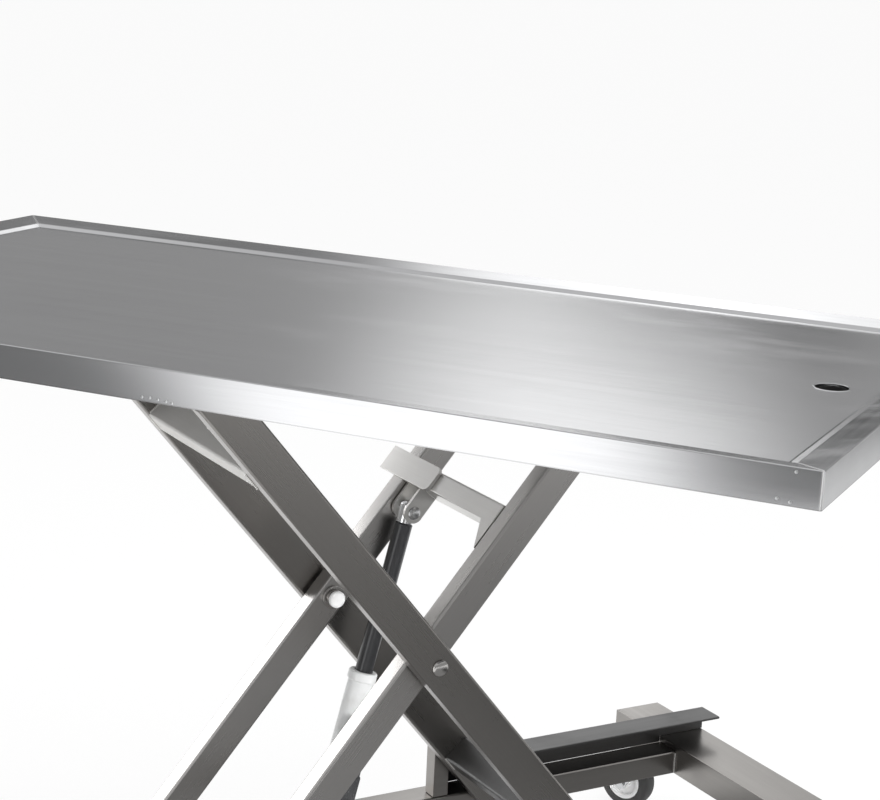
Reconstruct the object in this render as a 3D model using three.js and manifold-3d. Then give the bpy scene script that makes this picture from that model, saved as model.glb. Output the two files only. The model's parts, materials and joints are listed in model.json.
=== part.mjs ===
// Height-adjustable veterinary examination table: a stainless tray on a turntable, carried by a scissor
// lift that an electric actuator raises, on a low frame with four swivel casters.
// Millimetres, +Z up, floor at z = 0. X runs along the base rails and Y across them.
import * as THREE from 'three';
import { mergeVertices } from 'three/addons/utils/BufferGeometryUtils.js';
import Module from 'manifold-3d';

// Tray
const TOP_LENGTH = 1200;
const TOP_WIDTH = 650;
const TOP_TURN_DEGREES = -54.8;
const SHEET = 2;
const SKIRT_HEIGHT = 32;
const RIM_WIDTH = 29;
const RIM_DROP = 4.5;
const STEP_WIDTH = 9;
const STEP_DROP = 3;
const DRAIN_DIAMETER = 31;
const DRAIN_FROM_END = 81;
const SPOUT_WALL = 2;
const SPOUT_FLANGE = 9;
const SPOUT_LENGTH = 28;
const STIFFENER_WIDTH = 40;
const STIFFENER_HEIGHT = 16.75;
const STIFFENER_WALL = 2;
const STIFFENER_SPACING = 200;
const STIFFENER_FROM_END = 60;

// Scissor arms
const OUTER_ARM_HEIGHT = 41;
const INNER_ARM_HEIGHT = 35;
const ARM_THICKNESS = 24;
const ARM_WALL = 2;
const ARM_PIVOT_SPAN = 720;
const ARM_END = 18;
const OUTER_ARM_UPPER_END = 30;
const LIFT_ANGLE_DEGREES = 50;
const LOWEST_ANGLE_DEGREES = 20;
const OUTER_ARM_Y = 134;
const ARM_GAP = 4.5;
const SLEEVE_WALL = 4;
const PIVOT_RADIUS = 8;
const PIVOT_HEAD_RADIUS = 9;
const PIVOT_HEAD_HEIGHT = 4.5;
const PIVOT_HEAD_CROWN_RADIUS = 6.5;
const PIVOT_INNER_END = 12;
const PIVOT_COLLAR_RADIUS = 13;
const PIVOT_COLLAR_WIDTH = 3;
const UPPER_CROSS_FROM_HINGE = 60;
const LOWER_CROSS_FROM_ROLLER = 51;
const CROSS_TUBE_WIDTH = 24;
const LOWER_CROSS_HEIGHT = 35;

// Lifting crossbar and clevis on the inner arms
const CROSSBAR_FROM_PIVOT = 152;
const GUSSET_LENGTH = 32;
const GUSSET_HEIGHT = 22;
const GUSSET_THICKNESS = 5;
const SADDLE_THICKNESS = 4;
const SADDLE_NEAR_Y = 37;
const SADDLE_OVERHANG = 26;
const SADDLE_LIP = 3;
const SADDLE_CORNER = 8;
const CLEVIS_Y = 77;
const CLEVIS_GAP = 22;
const EAR_THICKNESS = 4;
const EAR_WIDTH = 24;
const CLEVIS_PIN_FROM_PIVOT = 125;
const CLEVIS_PIN_RADIUS = 5;
const CLEVIS_PIN_HEAD_RADIUS = 7.5;
const CLEVIS_PIN_HEAD = 3;

// Rollers and the tracks that hold them
const ROLLER_RADIUS = 16.5;
const ROLLER_WIDTH = 16;
const ROLLER_BORE_RADIUS = 6.3;
const ROLLER_TRACK_CLEARANCE = 0.5;
const STUB_FLANGE_RADIUS = 9;
const STUB_FLANGE = 2.5;
const STUB_SHOULDER_RADIUS = 10;
const LOWER_ROLLER_STANDOFF = 4;
const UPPER_ROLLER_STANDOFF = 1.5;
const TRACK_WALL = 3;
const TRACK_SIDE_CLEARANCE = 2.5;

// Base frame
const BASE_UNDERSIDE = 100;
const RAIL_DEPTH = 38;
const RAIL_HEIGHT = 30;
const TUBE_WALL = 2;
const CROSSBAR_WIDTH = 66;
const CROSSBAR_HEIGHT = 38;
const CROSSBAR_LENGTH = 566;
const RIGHT_CROSSBAR_X = 623.5;
const LEFT_CROSSBAR_BEHIND_HINGE = 95;
const HINGE_FROM_CENTRE = 168.6;
const GUIDE_BEFORE_ROLLER = 38.2;
const POST_SIZE = 20;
const POST_HEIGHT = 85;
const HINGE_LUG_THICKNESS = 8;
const HINGE_LUG_WIDTH = 40;
const HINGE_LUG_FOOT = 8;
const HINGE_LUG_TOP = 18;
const HINGE_HEAD_RADIUS = 12;
const HINGE_HEAD = 4;

// Platform and turntable
const PLATFORM_PLATE = 4;
const BEAM_HEIGHT = 15;
const BEAM_WALL = 2;
const BEAM_SHAFT_CLEARANCE = 4;
const HINGE_PLATE_BEHIND = 32;
const CHANNEL_DEPTH = 23.5;
const CHANNEL_ARM_CLEARANCE = 1;
const CHANNEL_BEFORE_ROLLER = 59;
const CHANNEL_BEYOND_ROLLER = 27;
const HINGE_PLATE_LENGTH = 64;
const PLATFORM_LUG_WIDTH = 28;
const PLATFORM_LUG_DROP = 14;
const END_BAR_WIDTH = 20;
const TURNTABLE_RADIUS = 130;
const RACE_RADIUS = 100;
const RACE_WALL = 14;
const RACE_HEIGHT = 10;
const RACE_OVERLAP = 7;

// Actuator
const FOOT_PIN_X = 51;
const FOOT_PIN_HEIGHT = 165;
const FOOT_PIN_RADIUS = 5;
const FOOT_PIN_HEAD_RADIUS = 8;
const FOOT_PIN_HEAD = 3;
const FOOT_EYE_RADIUS = 21;
const FOOT_EYE_BORE_RADIUS = 15;
const FOOT_EYE_WIDTH = 20;
const FOOT_EAR_THICKNESS = 4;
const FOOT_EAR_WIDTH = 36;
const FOOT_EAR_ABOVE_PIN = 9;
const FOOT_BRACKET_LENGTH = 50;
const FOOT_BRACKET_PLATE = 4;
const FOOT_TUBE_WIDTH = 40;
const NECK_LENGTH = 28;
const NECK_WIDTH = 24;
const HOUSING_LENGTH = 40;
const HOUSING_WALL = 1.5;
const MOTOR_RADIUS = 14;
const MOTOR_LENGTH = 62;
const MOTOR_SIDEWAYS = 4;
const MOTOR_GAP = 1.2;
const INLET_RADIUS = 6;
const INLET_LENGTH = 8;
const INLET_RISE = 8;
const BARREL_RADIUS = 14.5;
const COLLAR_RADIUS = 16.2;
const COLLAR_LENGTH = 10;
const COLLAR_FROM_PIN = 187;
const ROD_RADIUS = 10;
const ROD_ENGAGED = 15;
const ROD_EYE_RADIUS = 9.5;
const ROD_EYE_ABOVE = 11;
const ROD_EYE_BELOW = 15;

// Casters
const WHEEL_RADIUS = 37.5;
const TYRE_WIDTH = 24;
const TYRE_ROUNDING = 5;
const HUB_RADIUS = 25;
const HUB_WIDTH = 26;
const HUB_RECESS = 6;
const HUB_RIM = 5;
const HUB_BOSS_RADIUS = 9;
const AXLE_RADIUS = 4;
const AXLE_HEAD_RADIUS = 7;
const AXLE_HEAD = 3;
const FORK_PLATE = 3;
const FORK_SIDE_CLEARANCE = 2;
const FORK_CROWN_RADIUS = 23;
const FORK_CROWN = 5;
const FORK_LEG_REACH = 17;
const CASTER_HEAD_RADIUS = 26;
const CASTER_HEAD = 9;
const CASTER_TRAIL = 28;
const CASTER_FROM_END = 30;
const CASTER_TURN_DEGREES = 112;

// Gaps between pieces: parts that touch, shafts that turn in a bore, and overlap of joined shapes
const CONTACT = 0.3;
const RUNNING = 0.3;
const OVERLAP = 1;
const ROUND_SIDES = 16;
const WHEEL_SIDES = 24;
const TURNTABLE_SIDES = 48;

// Places that follow from the sizes above
const radians = THREE.MathUtils.degToRad;
const LIFT_ANGLE = radians(LIFT_ANGLE_DEGREES);
const TOP_TURN = radians(TOP_TURN_DEGREES);
const HALF_SPAN = ARM_PIVOT_SPAN / 2;
const RAIL_TOP = BASE_UNDERSIDE + RAIL_HEIGHT;
const TRACK_HEIGHT = 2 * (ROLLER_RADIUS + ROLLER_TRACK_CLEARANCE);
const LOWER_PIVOT_Z = RAIL_TOP + ROLLER_RADIUS + ROLLER_TRACK_CLEARANCE;
const PIVOT_Z = LOWER_PIVOT_Z + HALF_SPAN * Math.sin(LIFT_ANGLE);
const UPPER_PIVOT_Z = PIVOT_Z + HALF_SPAN * Math.sin(LIFT_ANGLE);
const HINGE_X = -HINGE_FROM_CENTRE;
const PIVOT_X = HINGE_X + HALF_SPAN * Math.cos(LIFT_ANGLE);
const ROLLER_X = HINGE_X + ARM_PIVOT_SPAN * Math.cos(LIFT_ANGLE);
const LOWEST_ROLLER_X = HINGE_X + ARM_PIVOT_SPAN * Math.cos(radians(LOWEST_ANGLE_DEGREES));
const OUTER_ARM_FACE = OUTER_ARM_Y + ARM_THICKNESS / 2;
const OUTER_ARM_INNER = OUTER_ARM_Y - ARM_THICKNESS / 2;
const INNER_ARM_FACE = OUTER_ARM_INNER - ARM_GAP;
const INNER_ARM_Y = INNER_ARM_FACE - ARM_THICKNESS / 2;
const INNER_ARM_INNER = INNER_ARM_FACE - ARM_THICKNESS;
const RAIL_INNER = OUTER_ARM_FACE + TRACK_SIDE_CLEARANCE;
const RAIL_OUTER = RAIL_INNER + RAIL_DEPTH;
const RIGHT_CROSSBAR_INNER = RIGHT_CROSSBAR_X - CROSSBAR_WIDTH / 2;
const RIGHT_CROSSBAR_OUTER = RIGHT_CROSSBAR_X + CROSSBAR_WIDTH / 2;
const LEFT_CROSSBAR_X = HINGE_X - LEFT_CROSSBAR_BEHIND_HINGE;
const LEFT_CROSSBAR_INNER = LEFT_CROSSBAR_X + CROSSBAR_WIDTH / 2;
const GUIDE_START_X = ROLLER_X - GUIDE_BEFORE_ROLLER;
const GUIDE_TOP = RAIL_TOP + TRACK_HEIGHT + TRACK_WALL;
const PLATFORM_TOP = UPPER_PIVOT_Z + TRACK_HEIGHT / 2 + TRACK_WALL;
const CHANNEL_START_X = ROLLER_X - CHANNEL_BEFORE_ROLLER;
const CHANNEL_END_X = LOWEST_ROLLER_X + CHANNEL_BEYOND_ROLLER;
const CHANNEL_OUTER_Y = INNER_ARM_INNER - CHANNEL_ARM_CLEARANCE;
const CHANNEL_INNER_Y = CHANNEL_OUTER_Y - CHANNEL_DEPTH;
const TURNTABLE_PLATE_TOP = PLATFORM_TOP + CONTACT + PLATFORM_PLATE;
const TURNTABLE_TOP = TURNTABLE_PLATE_TOP + RACE_HEIGHT + CONTACT + PLATFORM_PLATE;
const FLOOR_DROP = RIM_DROP + STEP_DROP;
const TRAY_UNDERSIDE = TURNTABLE_TOP + STIFFENER_HEIGHT + 2 * CONTACT;
const TOP_HEIGHT = TRAY_UNDERSIDE + SHEET + FLOOR_DROP;
const CLEVIS_PIN_X = PIVOT_X + CLEVIS_PIN_FROM_PIVOT * Math.cos(LIFT_ANGLE);
const CLEVIS_PIN_Z = PIVOT_Z + CLEVIS_PIN_FROM_PIVOT * Math.sin(LIFT_ANGLE);
const ACTUATOR_LEAN = Math.atan2(CLEVIS_PIN_X - FOOT_PIN_X, CLEVIS_PIN_Z - FOOT_PIN_HEIGHT);
const ACTUATOR_LENGTH = Math.hypot(CLEVIS_PIN_X - FOOT_PIN_X, CLEVIS_PIN_Z - FOOT_PIN_HEIGHT);

// The overall box runs from the tray's left corner to the right crossbar; the origin is under its middle
const TOP_REACH_X = (TOP_LENGTH * Math.cos(TOP_TURN) + TOP_WIDTH * Math.abs(Math.sin(TOP_TURN))) / 2;
const BOX_MIDDLE_X = (Math.max(RIGHT_CROSSBAR_OUTER, TOP_REACH_X) - TOP_REACH_X) / 2;

// Solids that can be joined and cut
const wasm = await Module();
wasm.setup();

function solid(geometry) {
  const bare = geometry.clone();
  bare.deleteAttribute('normal');
  bare.deleteAttribute('uv');
  const merged = mergeVertices(bare);
  const vertProperties = new Float32Array(merged.attributes.position.array);
  const triVerts = new Uint32Array(merged.index.array);
  return new wasm.Manifold(new wasm.Mesh({ numProp: 3, vertProperties, triVerts }));
}

function geometryOf(body) {
  const mesh = body.getMesh();
  const geometry = new THREE.BufferGeometry();
  geometry.setAttribute('position', new THREE.BufferAttribute(mesh.vertProperties, 3));
  geometry.setIndex(new THREE.BufferAttribute(mesh.triVerts, 1));
  geometry.computeVertexNormals();
  return geometry;
}

// Basic shapes, each given by the spans that it fills along X, Y and Z
function box(x, y, z) {
  const size = [x, y, z].map(([from, to]) => to - from);
  const middle = [x, y, z].map(([from, to]) => (from + to) / 2);
  return solid(new THREE.BoxGeometry(...size).translate(...middle));
}

function centred(middle, size) {
  return [middle - size / 2, middle + size / 2];
}

function grown([from, to], margin) {
  return [from - margin, to + margin];
}

function mirrored([from, to], side) {
  return side > 0 ? [from, to] : [-to, -from];
}

function tubeAlongX(x, y, z, wall) {
  return box(x, y, z).subtract(box(grown(x, OVERLAP), grown(y, -wall), grown(z, -wall)));
}

function tubeAlongY(x, y, z, wall) {
  return box(x, y, z).subtract(box(grown(x, -wall), grown(y, OVERLAP), grown(z, -wall)));
}

function rodAlongY(radius, y, x, z, sides = ROUND_SIDES) {
  const rod = new THREE.CylinderGeometry(radius, radius, y[1] - y[0], sides);
  return solid(rod.translate(x, (y[0] + y[1]) / 2, z));
}

function rodAlongZ(radius, z, x = 0, y = 0, sides = ROUND_SIDES) {
  const rod = new THREE.CylinderGeometry(radius, radius, z[1] - z[0], sides);
  return solid(rod.rotateX(Math.PI / 2).translate(x, y, (z[0] + z[1]) / 2));
}

function platePlan(outline, thickness) {
  const shape = new THREE.Shape(outline.map(([u, v]) => new THREE.Vector2(u, v)));
  return new THREE.ExtrudeGeometry(shape, { depth: thickness, bevelEnabled: false });
}

// A plate standing across Y, its outline given in X and Z, filling the span y
function plateAcrossY(outline, y) {
  const plate = platePlan(outline, y[1] - y[0]);
  return solid(plate.rotateX(Math.PI / 2).translate(0, y[1], 0));
}

// A ring turned about Y from a closed profile of radius and Y
function ringAboutY(profile, x, z, sides) {
  const points = [...profile, profile[0]].map(([radius, y]) => new THREE.Vector2(radius, y));
  return solid(new THREE.LatheGeometry(points, sides).translate(x, 0, z));
}

// A rectangular frame with mitred corners from a closed profile of inset and height: a four-sided lathe
// turns it as a square, and its ends are then drawn apart to the length
function mitredFrame(length, width, profile) {
  const points = [...profile, profile[0]];
  const corner = points.map(([inset, z]) => new THREE.Vector2((width / 2 - inset) * Math.SQRT2, z));
  const frame = new THREE.LatheGeometry(corner, 4).rotateX(Math.PI / 2).rotateZ(Math.PI / 4);
  const place = frame.attributes.position;
  for (let i = 0; i < place.count; i += 1) {
    place.setX(i, place.getX(i) + Math.sign(place.getX(i)) * (length - width) / 2);
  }
  return solid(frame);
}

// Finishes
const FINISHES = {
  tray: { color: 0xb9bbbd, roughness: 0.3, metalness: 0.9 },
  steel: { color: 0x9a9793, roughness: 0.38, metalness: 0.9 },
  dark: { color: 0x4a4a49, roughness: 0.5, metalness: 0.7 },
  chrome: { color: 0xe6e6e6, roughness: 0.1, metalness: 1 },
  zinc: { color: 0xc9ccce, roughness: 0.3, metalness: 0.9 },
  black: { color: 0x2b2c2e, roughness: 0.45, metalness: 0.3 },
  white: { color: 0xd7d8d8, roughness: 0.45, metalness: 0.2 },
  rubber: { color: 0x3b3b3b, roughness: 0.8, metalness: 0 },
  nylon: { color: 0x303234, roughness: 0.55, metalness: 0 },
};

function add(group, name, body, finish) {
  const mesh = new THREE.Mesh(geometryOf(body), new THREE.MeshStandardMaterial(FINISHES[finish]));
  mesh.name = name;
  group.add(mesh);
}

const SIDES = [['far', 1], ['near', -1]];

// Base frame: two crossbars, two side tubes with roller guides, stop posts and hinge lugs
function buildBase(base) {
  const crossbarZ = [BASE_UNDERSIDE, BASE_UNDERSIDE + CROSSBAR_HEIGHT];
  const crossbarY = centred(0, CROSSBAR_LENGTH);
  const rightX = [RIGHT_CROSSBAR_INNER, RIGHT_CROSSBAR_OUTER];
  add(base, 'crossbar_right', tubeAlongY(rightX, crossbarY, crossbarZ, TUBE_WALL), 'steel');
  const leftX = centred(LEFT_CROSSBAR_X, CROSSBAR_WIDTH);
  add(base, 'crossbar_left', tubeAlongY(leftX, crossbarY, crossbarZ, TUBE_WALL), 'steel');

  const railX = [LEFT_CROSSBAR_INNER + CONTACT, RIGHT_CROSSBAR_INNER - CONTACT];
  const railZ = [BASE_UNDERSIDE, RAIL_TOP];
  for (const [label, side] of SIDES) {
    const railY = mirrored([RAIL_INNER, RAIL_OUTER], side);
    add(base, `side_tube_${label}`, tubeAlongX(railX, railY, railZ, TUBE_WALL), 'steel');

    const guideX = [GUIDE_START_X, RIGHT_CROSSBAR_OUTER];
    const webY = mirrored([RAIL_OUTER - TRACK_WALL, RAIL_OUTER], side);
    const web = box(guideX, webY, [RAIL_TOP + CONTACT, GUIDE_TOP]);
    const flange = box(guideX, railY, [GUIDE_TOP - TRACK_WALL, GUIDE_TOP]);
    const overCrossbar = box(grown(rightX, OVERLAP), grown(webY, OVERLAP), grown(crossbarZ, CONTACT));
    add(base, `roller_guide_${label}`, web.add(flange).subtract(overCrossbar), 'dark');

    const postX = [GUIDE_START_X - CONTACT - POST_SIZE, GUIDE_START_X - CONTACT];
    const postY = mirrored([RAIL_INNER + OVERLAP, RAIL_INNER + OVERLAP + POST_SIZE], side);
    const postZ = [RAIL_TOP + CONTACT, RAIL_TOP + CONTACT + POST_HEIGHT];
    add(base, `stop_post_${label}`, box(postX, postY, postZ), 'steel');

    const lugX = centred(HINGE_X, HINGE_LUG_WIDTH);
    const lugFace = INNER_ARM_FACE + CONTACT;
    const lugY = mirrored([lugFace, lugFace + HINGE_LUG_THICKNESS], side);
    const lug = box(lugX, lugY, [BASE_UNDERSIDE, LOWER_PIVOT_Z + HINGE_LUG_TOP]);
    const footY = mirrored([lugFace, RAIL_INNER - CONTACT], side);
    const foot = box(lugX, footY, [BASE_UNDERSIDE, BASE_UNDERSIDE + HINGE_LUG_FOOT]);
    const bore = rodAlongY(PIVOT_RADIUS + RUNNING, grown(lugY, OVERLAP), HINGE_X, LOWER_PIVOT_Z);
    add(base, `base_hinge_lug_${label}`, lug.add(foot).subtract(bore), 'steel');
  }

  const lugReach = INNER_ARM_FACE + CONTACT + HINGE_LUG_THICKNESS;
  add(base, 'base_hinge_shaft', headedShaft(lugReach, HINGE_X, LOWER_PIVOT_Z), 'zinc');
  buildActuatorFoot(base);
}

// A shaft across the frame with a head outside each of its outermost bearings
function headedShaft(reach, x, z) {
  const seat = reach + CONTACT;
  const shaft = rodAlongY(PIVOT_RADIUS, [-seat, seat], x, z);
  const heads = SIDES.map(([, side]) => {
    const headY = mirrored([seat, seat + HINGE_HEAD], side);
    return rodAlongY(HINGE_HEAD_RADIUS, headY, x, z);
  });
  return shaft.add(heads[0]).add(heads[1]);
}

// Cross tube, bracket and pin under the actuator
function buildActuatorFoot(base) {
  const tubeX = centred(FOOT_PIN_X, FOOT_TUBE_WIDTH);
  const tubeY = centred(0, 2 * (RAIL_INNER - CONTACT));
  const tubeZ = [BASE_UNDERSIDE, RAIL_TOP];
  add(base, 'actuator_cross_tube', tubeAlongY(tubeX, tubeY, tubeZ, TUBE_WALL), 'steel');

  const plateZ = [RAIL_TOP + CONTACT, RAIL_TOP + CONTACT + FOOT_BRACKET_PLATE];
  const earGap = FOOT_EYE_WIDTH / 2 + RUNNING;
  const earReach = earGap + FOOT_EAR_THICKNESS;
  const plateY = centred(CLEVIS_Y, 2 * earReach);
  let bracket = box(centred(FOOT_PIN_X, FOOT_BRACKET_LENGTH), plateY, plateZ);
  for (const [, side] of SIDES) {
    const earY = mirrored([earGap, earReach], side).map((y) => y + CLEVIS_Y);
    const earZ = [plateZ[0], FOOT_PIN_HEIGHT + FOOT_EAR_ABOVE_PIN];
    bracket = bracket.add(box(centred(FOOT_PIN_X, FOOT_EAR_WIDTH), earY, earZ));
  }
  const boreY = grown(plateY, OVERLAP);
  const bore = rodAlongY(FOOT_PIN_RADIUS + RUNNING, boreY, FOOT_PIN_X, FOOT_PIN_HEIGHT);
  add(base, 'actuator_foot_bracket', bracket.subtract(bore), 'steel');

  const pinY = [CLEVIS_Y - earReach - CONTACT, CLEVIS_Y + earReach];
  const headY = [pinY[0] - FOOT_PIN_HEAD, pinY[0]];
  const pin = rodAlongY(FOOT_PIN_RADIUS, pinY, FOOT_PIN_X, FOOT_PIN_HEIGHT);
  const head = rodAlongY(FOOT_PIN_HEAD_RADIUS, headY, FOOT_PIN_X, FOOT_PIN_HEIGHT);
  add(base, 'actuator_foot_pin', pin.add(head), 'zinc');
}

// One arm along X about its middle pivot, with a sleeve through it at its hinge and at its middle.
// hingeY is how far the hinge's bore goes across the arm, hingeEnd how far the arm goes on past its hinge.
function armTube(armY, height, hingeY, hingeEnd) {
  const y = centred(armY, ARM_THICKNESS);
  const sleeveRadius = PIVOT_RADIUS + RUNNING + SLEEVE_WALL;
  const x = [-HALF_SPAN - hingeEnd, HALF_SPAN + ARM_END];
  const tube = tubeAlongX(x, y, centred(0, height), ARM_WALL);
  const sleeves = rodAlongY(sleeveRadius, y, -HALF_SPAN, 0).add(rodAlongY(sleeveRadius, y, 0, 0));
  const hingeBore = rodAlongY(PIVOT_RADIUS + RUNNING, hingeY, -HALF_SPAN, 0);
  const middleBore = rodAlongY(PIVOT_RADIUS + RUNNING, grown(y, OVERLAP), 0, 0);
  return tube.add(sleeves).subtract(hingeBore).subtract(middleBore);
}

// Stub axle at an arm's end: from inside the arm, past a shoulder and the roller, to a flange.
// outward is the direction along Y in which the roller stands off the arm's face.
function stubAxle(x, armY, outward, standoff) {
  const face = ARM_THICKNESS / 2;
  const seat = face + standoff;
  const end = seat + ROLLER_WIDTH + 2 * CONTACT;
  const along = (span) => mirrored(span, outward).map((y) => y + armY);
  const axle = rodAlongY(ROLLER_BORE_RADIUS - RUNNING, along([-face, end + STUB_FLANGE]), x, 0);
  const shoulder = rodAlongY(STUB_SHOULDER_RADIUS, along([face - ARM_WALL, seat]), x, 0);
  const flange = rodAlongY(STUB_FLANGE_RADIUS, along([end, end + STUB_FLANGE]), x, 0);
  return axle.add(shoulder).add(flange);
}

function rollerOn(x, armY, outward, standoff) {
  const start = ARM_THICKNESS / 2 + standoff + CONTACT;
  const y = mirrored([start, start + ROLLER_WIDTH], outward).map((place) => place + armY);
  const bore = rodAlongY(ROLLER_BORE_RADIUS, grown(y, OVERLAP), x, 0);
  return rodAlongY(ROLLER_RADIUS, y, x, 0, WHEEL_SIDES).subtract(bore);
}

// Outer frame: local X runs down to the right, from the platform hinge to the lower rollers
function buildOuterFrame(frame) {
  for (const [label, side] of SIDES) {
    const armY = side * OUTER_ARM_Y;
    const blindY = mirrored([OUTER_ARM_INNER - OVERLAP, OUTER_ARM_FACE - ARM_WALL], side);
    const tube = armTube(armY, OUTER_ARM_HEIGHT, blindY, OUTER_ARM_UPPER_END);
    const arm = tube.add(stubAxle(HALF_SPAN, armY, side, LOWER_ROLLER_STANDOFF));
    add(frame, `outer_arm_${label}`, arm, 'steel');
    add(frame, `lower_roller_${label}`, rollerOn(HALF_SPAN, armY, side, LOWER_ROLLER_STANDOFF), 'nylon');
  }
  const y = centred(0, 2 * (OUTER_ARM_INNER - CONTACT));
  const upperZ = centred(0, OUTER_ARM_HEIGHT);
  const upperX = centred(UPPER_CROSS_FROM_HINGE + CROSS_TUBE_WIDTH / 2 - HALF_SPAN, CROSS_TUBE_WIDTH);
  add(frame, 'outer_upper_cross_tube', tubeAlongY(upperX, y, upperZ, ARM_WALL), 'steel');
  const lowerZ = centred(0, LOWER_CROSS_HEIGHT);
  const lowerX = centred(HALF_SPAN - LOWER_CROSS_FROM_ROLLER - CROSS_TUBE_WIDTH / 2, CROSS_TUBE_WIDTH);
  add(frame, 'outer_lower_cross_tube', tubeAlongY(lowerX, y, lowerZ, ARM_WALL), 'steel');
}

// Inner frame: local X runs up to the right, from the base hinge to the upper rollers
function buildInnerFrame(frame) {
  for (const [label, side] of SIDES) {
    const armY = side * INNER_ARM_Y;
    const throughY = grown(centred(armY, ARM_THICKNESS), OVERLAP);
    const tube = armTube(armY, INNER_ARM_HEIGHT, throughY, ARM_END);
    const arm = tube.add(stubAxle(HALF_SPAN, armY, -side, UPPER_ROLLER_STANDOFF));
    add(frame, `inner_arm_${label}`, arm, 'steel');
    add(frame, `upper_roller_${label}`, rollerOn(HALF_SPAN, armY, -side, UPPER_ROLLER_STANDOFF), 'nylon');
    add(frame, `pivot_pin_${label}`, pivotPin(side), 'zinc');
  }
  buildLiftCrossbar(frame);
  buildClevis(frame);
}

// Middle pivot: pin through both arms with a domed head outside, a spacer between the arms and a
// welded collar inside
function pivotPin(side) {
  const across = (span) => mirrored(span, side);
  const inner = INNER_ARM_INNER - CONTACT;
  const outer = OUTER_ARM_FACE + CONTACT;
  const dome = [[0, outer - OVERLAP], [PIVOT_RADIUS, outer - OVERLAP], [PIVOT_RADIUS, outer],
    [PIVOT_HEAD_RADIUS, outer], [PIVOT_HEAD_RADIUS, outer + PIVOT_HEAD_HEIGHT / 2],
    [PIVOT_HEAD_CROWN_RADIUS, outer + PIVOT_HEAD_HEIGHT], [0, outer + PIVOT_HEAD_HEIGHT]];
  const points = dome.map(([radius, y]) => new THREE.Vector2(radius, side * y));
  if (side < 0) {
    points.reverse();
  }
  const head = solid(new THREE.LatheGeometry(points, ROUND_SIDES));
  const shank = rodAlongY(PIVOT_RADIUS, across([inner - PIVOT_INNER_END, outer]), 0, 0);
  const betweenArms = grown([INNER_ARM_FACE, OUTER_ARM_INNER], -CONTACT);
  const spacer = rodAlongY(PIVOT_COLLAR_RADIUS, across(betweenArms), 0, 0);
  const collar = rodAlongY(PIVOT_COLLAR_RADIUS, across([inner - PIVOT_COLLAR_WIDTH, inner]), 0, 0);
  return shank.add(head).add(spacer).add(collar);
}

// Crossbar between the inner arms, with a gusset below it at the near arm
function buildLiftCrossbar(frame) {
  const x = [CROSSBAR_FROM_PIVOT, CROSSBAR_FROM_PIVOT + CROSS_TUBE_WIDTH];
  const reach = INNER_ARM_INNER - CONTACT;
  const bar = tubeAlongY(x, [-reach, reach], centred(0, INNER_ARM_HEIGHT), ARM_WALL);
  const corner = x[0] + OVERLAP;
  const outline = [[corner, -reach], [corner, GUSSET_HEIGHT - reach], [corner - GUSSET_LENGTH, -reach]];
  const gussetZ = INNER_ARM_HEIGHT / 2 - GUSSET_THICKNESS;
  const gusset = solid(platePlan(outline, GUSSET_THICKNESS).translate(0, 0, gussetZ));
  add(frame, 'lift_crossbar', bar.add(gusset), 'steel');
}

// Saddle plate over the crossbar's far end with two ears hanging from it, and the pin through them
function buildClevis(frame) {
  const top = INNER_ARM_HEIGHT / 2 + CONTACT;
  const x = [CROSSBAR_FROM_PIVOT - SADDLE_LIP, CROSSBAR_FROM_PIVOT + CROSS_TUBE_WIDTH + SADDLE_LIP];
  const farY = INNER_ARM_FACE + SADDLE_OVERHANG;
  const topZ = [top, top + SADDLE_THICKNESS];
  const cornerY = SADDLE_NEAR_Y + SADDLE_CORNER;
  let saddle = box(x, [cornerY, farY], topZ).add(box(grown(x, -SADDLE_CORNER), [SADDLE_NEAR_Y, farY], topZ));
  for (const cornerX of grown(x, -SADDLE_CORNER)) {
    saddle = saddle.add(rodAlongZ(SADDLE_CORNER, topZ, cornerX, cornerY));
  }

  const stubY = [INNER_ARM_FACE + CONTACT, farY];
  const stubX = [CROSSBAR_FROM_PIVOT, CROSSBAR_FROM_PIVOT + CROSS_TUBE_WIDTH];
  saddle = saddle.add(box(stubX, stubY, [-INNER_ARM_HEIGHT / 2, top + OVERLAP]));

  const earEnd = EAR_WIDTH / 2;
  const earTop = CROSSBAR_FROM_PIVOT - CONTACT;
  for (const [, side] of SIDES) {
    const earY = mirrored([CLEVIS_GAP / 2, CLEVIS_GAP / 2 + EAR_THICKNESS], side).map((y) => y + CLEVIS_Y);
    const shank = box([CLEVIS_PIN_FROM_PIVOT, earTop], earY, centred(0, EAR_WIDTH));
    const round = rodAlongY(earEnd, earY, CLEVIS_PIN_FROM_PIVOT, 0);
    const hanger = box([x[0], earTop], earY, [0, top + OVERLAP]);
    saddle = saddle.add(shank).add(round).add(hanger);
  }
  const reach = CLEVIS_GAP / 2 + EAR_THICKNESS;
  const boreY = centred(CLEVIS_Y, 2 * (reach + OVERLAP));
  const bore = rodAlongY(CLEVIS_PIN_RADIUS + RUNNING, boreY, CLEVIS_PIN_FROM_PIVOT, 0);
  add(frame, 'clevis_saddle', saddle.subtract(bore), 'steel');

  const pinY = [CLEVIS_Y - reach - CONTACT, CLEVIS_Y + reach];
  const headY = [pinY[0] - CLEVIS_PIN_HEAD, pinY[0]];
  const pin = rodAlongY(CLEVIS_PIN_RADIUS, pinY, CLEVIS_PIN_FROM_PIVOT, 0);
  const head = rodAlongY(CLEVIS_PIN_HEAD_RADIUS, headY, CLEVIS_PIN_FROM_PIVOT, 0);
  add(frame, 'clevis_pin', pin.add(head), 'chrome');
}

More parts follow.
